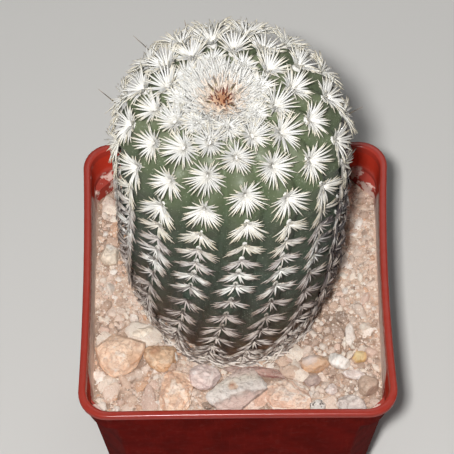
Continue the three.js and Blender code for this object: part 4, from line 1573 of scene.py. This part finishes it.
def makeBed():
    bm = bmesh.new()
    half = wallHalf(soilLevel) - pot["wall"] + bed["overlap"]
    bmesh.ops.create_grid(bm, x_segments=bed["cells"], y_segments=bed["cells"], size=half)
    legs = pot["cut"] - pot["wall"] * (2 - sqrt(2))
    for x in (-1, 1):
        for y in (-1, 1):
            edge = Vector((x, y, 0)) * (half - legs / 2 + bed["overlap"] / 2)
            geom = bm.verts[:] + bm.edges[:] + bm.faces[:]
            bmesh.ops.bisect_plane(bm, geom=geom, plane_co=edge, plane_no=(x, y, 0), clear_outer=True)
    for vert in bm.verts:
        vert.co.z = bedHeight(vert.co.x, vert.co.y)
    edges = [edge for edge in bm.edges if edge.is_boundary]
    drawn = bmesh.ops.extrude_edge_only(bm, edges=edges)["geom"]
    shrink = (wallHalf(bed["foot"]) - pot["wall"] - 0.1) / half
    for vert in drawn:
        if isinstance(vert, bmesh.types.BMVert):
            vert.co = Vector((vert.co.x * shrink, vert.co.y * shrink, bed["foot"]))
    foot = [edge for edge in drawn if isinstance(edge, bmesh.types.BMEdge) and edge.is_boundary]
    bmesh.ops.edgeloop_fill(bm, edges=foot)
    bmesh.ops.recalc_face_normals(bm, faces=bm.faces)
    tint = newLayers(bm, "tint")[0]
    shallow = [bed["rise"] + height for height in bed["pitShade"]]
    for vert in bm.verts:  # painted shade: darker deep in pits and close to stones
        pitShade = easeIn(*shallow, vert.co.z - soilLevel)
        vert[tint] = max(pitShade, easeIn(bed["creviceShade"], 0.0, stoneGap(vert.co.x, vert.co.y)))
    finishPiece("soil_bed", bm, makeSoilMaterial("soilBed", 0.8, True), ["soil"])


def makeChipShape(seeded, detail):  # a ball pressed against random planes, then flattened
    planes = []
    for i in range(chip["planes"]):
        normal = anyWay(seeded).normalized()
        planes.append((normal, seeded.uniform(*chip["planeAt"])))
    power = seeded.choice(chip["sharpness"])
    nearest, furthest = chip["reach"]
    bm = bmesh.new()
    bmesh.ops.create_icosphere(bm, subdivisions=detail, radius=1)
    for vert in bm.verts:
        heading = vert.co.normalized()
        pressed = sum((max(0.0, heading.dot(normal)) / away) ** power for normal, away in planes)
        vert.co = heading * max(nearest, min(furthest, max(pressed, 1e-4) ** (-1 / power)))
    flat = (1, seeded.uniform(*chip["width"]), seeded.uniform(*chip["thickness"]))
    bmesh.ops.scale(bm, vec=flat, verts=bm.verts)
    return toMesh(bm, "chip")


def makeRubble(material):  # the bigger lumps that lie loose among the stones
    seeded = random.Random(lump["seed"])
    scale, depth = lump["bumps"]
    bm = bmesh.new()
    tintLayer = newLayers(bm, "tint")[0]
    for x, y, length, width, height, turn, tint in rubble.values():
        verts = addShape(bm, makeChipShape(seeded, lump["detail"]))
        size = [max(abs(v.co[i]) for v in verts) for i in range(3)]
        wanted = (length, width, height)
        place = Matrix.Translation((x, y, bedHeight(x, y) + height * lump["rise"]))
        place = place @ Matrix.Rotation(radians(turn), 4, "Z")
        for vert in verts:
            form = Vector(vert.co[i] / size[i] * wanted[i] / 2 for i in range(3))
            lumps = noise.fractal(form * scale + Vector((x, y, 0)), 1.0, 2.0, 4) * depth
            vert.co = place @ (form * (1 + lumps / max(1.5, form.length)))
            vert[tintLayer] = tint
    finishPiece("rubble", bm, material, sharpAngle=38)


def openGround(x, y, size):  # inside the pot, off the stem and off the stones
    half = wallHalf(soilLevel) - pot["wall"]
    if abs(x) + abs(y) > 2 * half - pot["cut"] - size * clearance["corner"]:
        return False
    if max(abs(x), abs(y)) > half - size * clearance["wall"]:
        return False
    for cx, cy, length, width, *others in rubble.values():
        if hypot((x - cx) / length, (y - cy) / width) < clearance["rubble"]:
            return False
    if hypot(x - stem["x"], y - stem["y"]) <= stem["baseRadius"] - clearance["underStem"] + size / 2:
        return False
    return stoneGap(x, y) > size * clearance["stone"]


def claimPlace(x, y, size, spacing, taken):  # unless a neighbour in this cell or the next ones is too near
    column, row = int(x // chip["cell"]), int(y // chip["cell"])
    cells = [(column + i, row + j) for i in (-1, 0, 1) for j in (-1, 0, 1)]
    near = [spot for cell in cells for spot in taken.get(cell, [])]
    if any(hypot(x - a, y - b) < (size + c) * spacing * gravel["crowding"] for a, b, c in near):
        return False
    taken.setdefault((column, row), []).append((x, y, size))
    return True


def scatter(name, values, material):
    seeded = random.Random(values["seed"])
    shapes = [makeChipShape(seeded, values["detail"]) for i in range(values["shapes"])]
    half = wallHalf(soilLevel)
    spacing = values.get("spacing")
    taken = {}
    chips = []
    tries = 0
    while len(chips) < values["number"] and tries < values["number"] * chip["tries"]:
        tries += 1
        x, y = seeded.uniform(-half, half), seeded.uniform(-half, half)
        size = between(*values["size"], seeded.random() ** values["favour"])
        if spacing and seeded.random() > coarseness(x, y) or not openGround(x, y, size):
            continue
        if spacing and not claimPlace(x, y, size, spacing, taken):
            continue
        shape = shapes[seeded.randrange(len(shapes))]
        tilt = seeded.gauss(0, chip["tilt"]), seeded.gauss(0, chip["tilt"])
        turn = Euler((*tilt, seeded.uniform(0, 2 * pi)))
        sit = Matrix.Translation((x, y, bedHeight(x, y) + size * values["sunk"]))
        matrix = sit @ turn.to_matrix().to_4x4() @ Matrix.Scale(size / 2, 4)
        chips.append((shape, matrix, seeded.random()))

    def addChip(part, layers, placed):
        shape, matrix, tint = placed
        for vert in addShape(part, shape):
            vert.co = matrix @ vert.co
            vert[layers[0]] = tint

    whole = bmesh.new()
    pourBatches(whole, chips, addChip, "tint")
    print(name, len(chips))
    finishPiece(name, whole, material, sharpAngle=values["sharp"])


makeBed()
gritMaterial = makeSoilMaterial("gritGrains", 0.45)
makeRubble(gritMaterial)
scatter("gravel", gravel, gritMaterial)
scatter("grit", grit, gritMaterial)
print("soil made")

low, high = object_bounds()
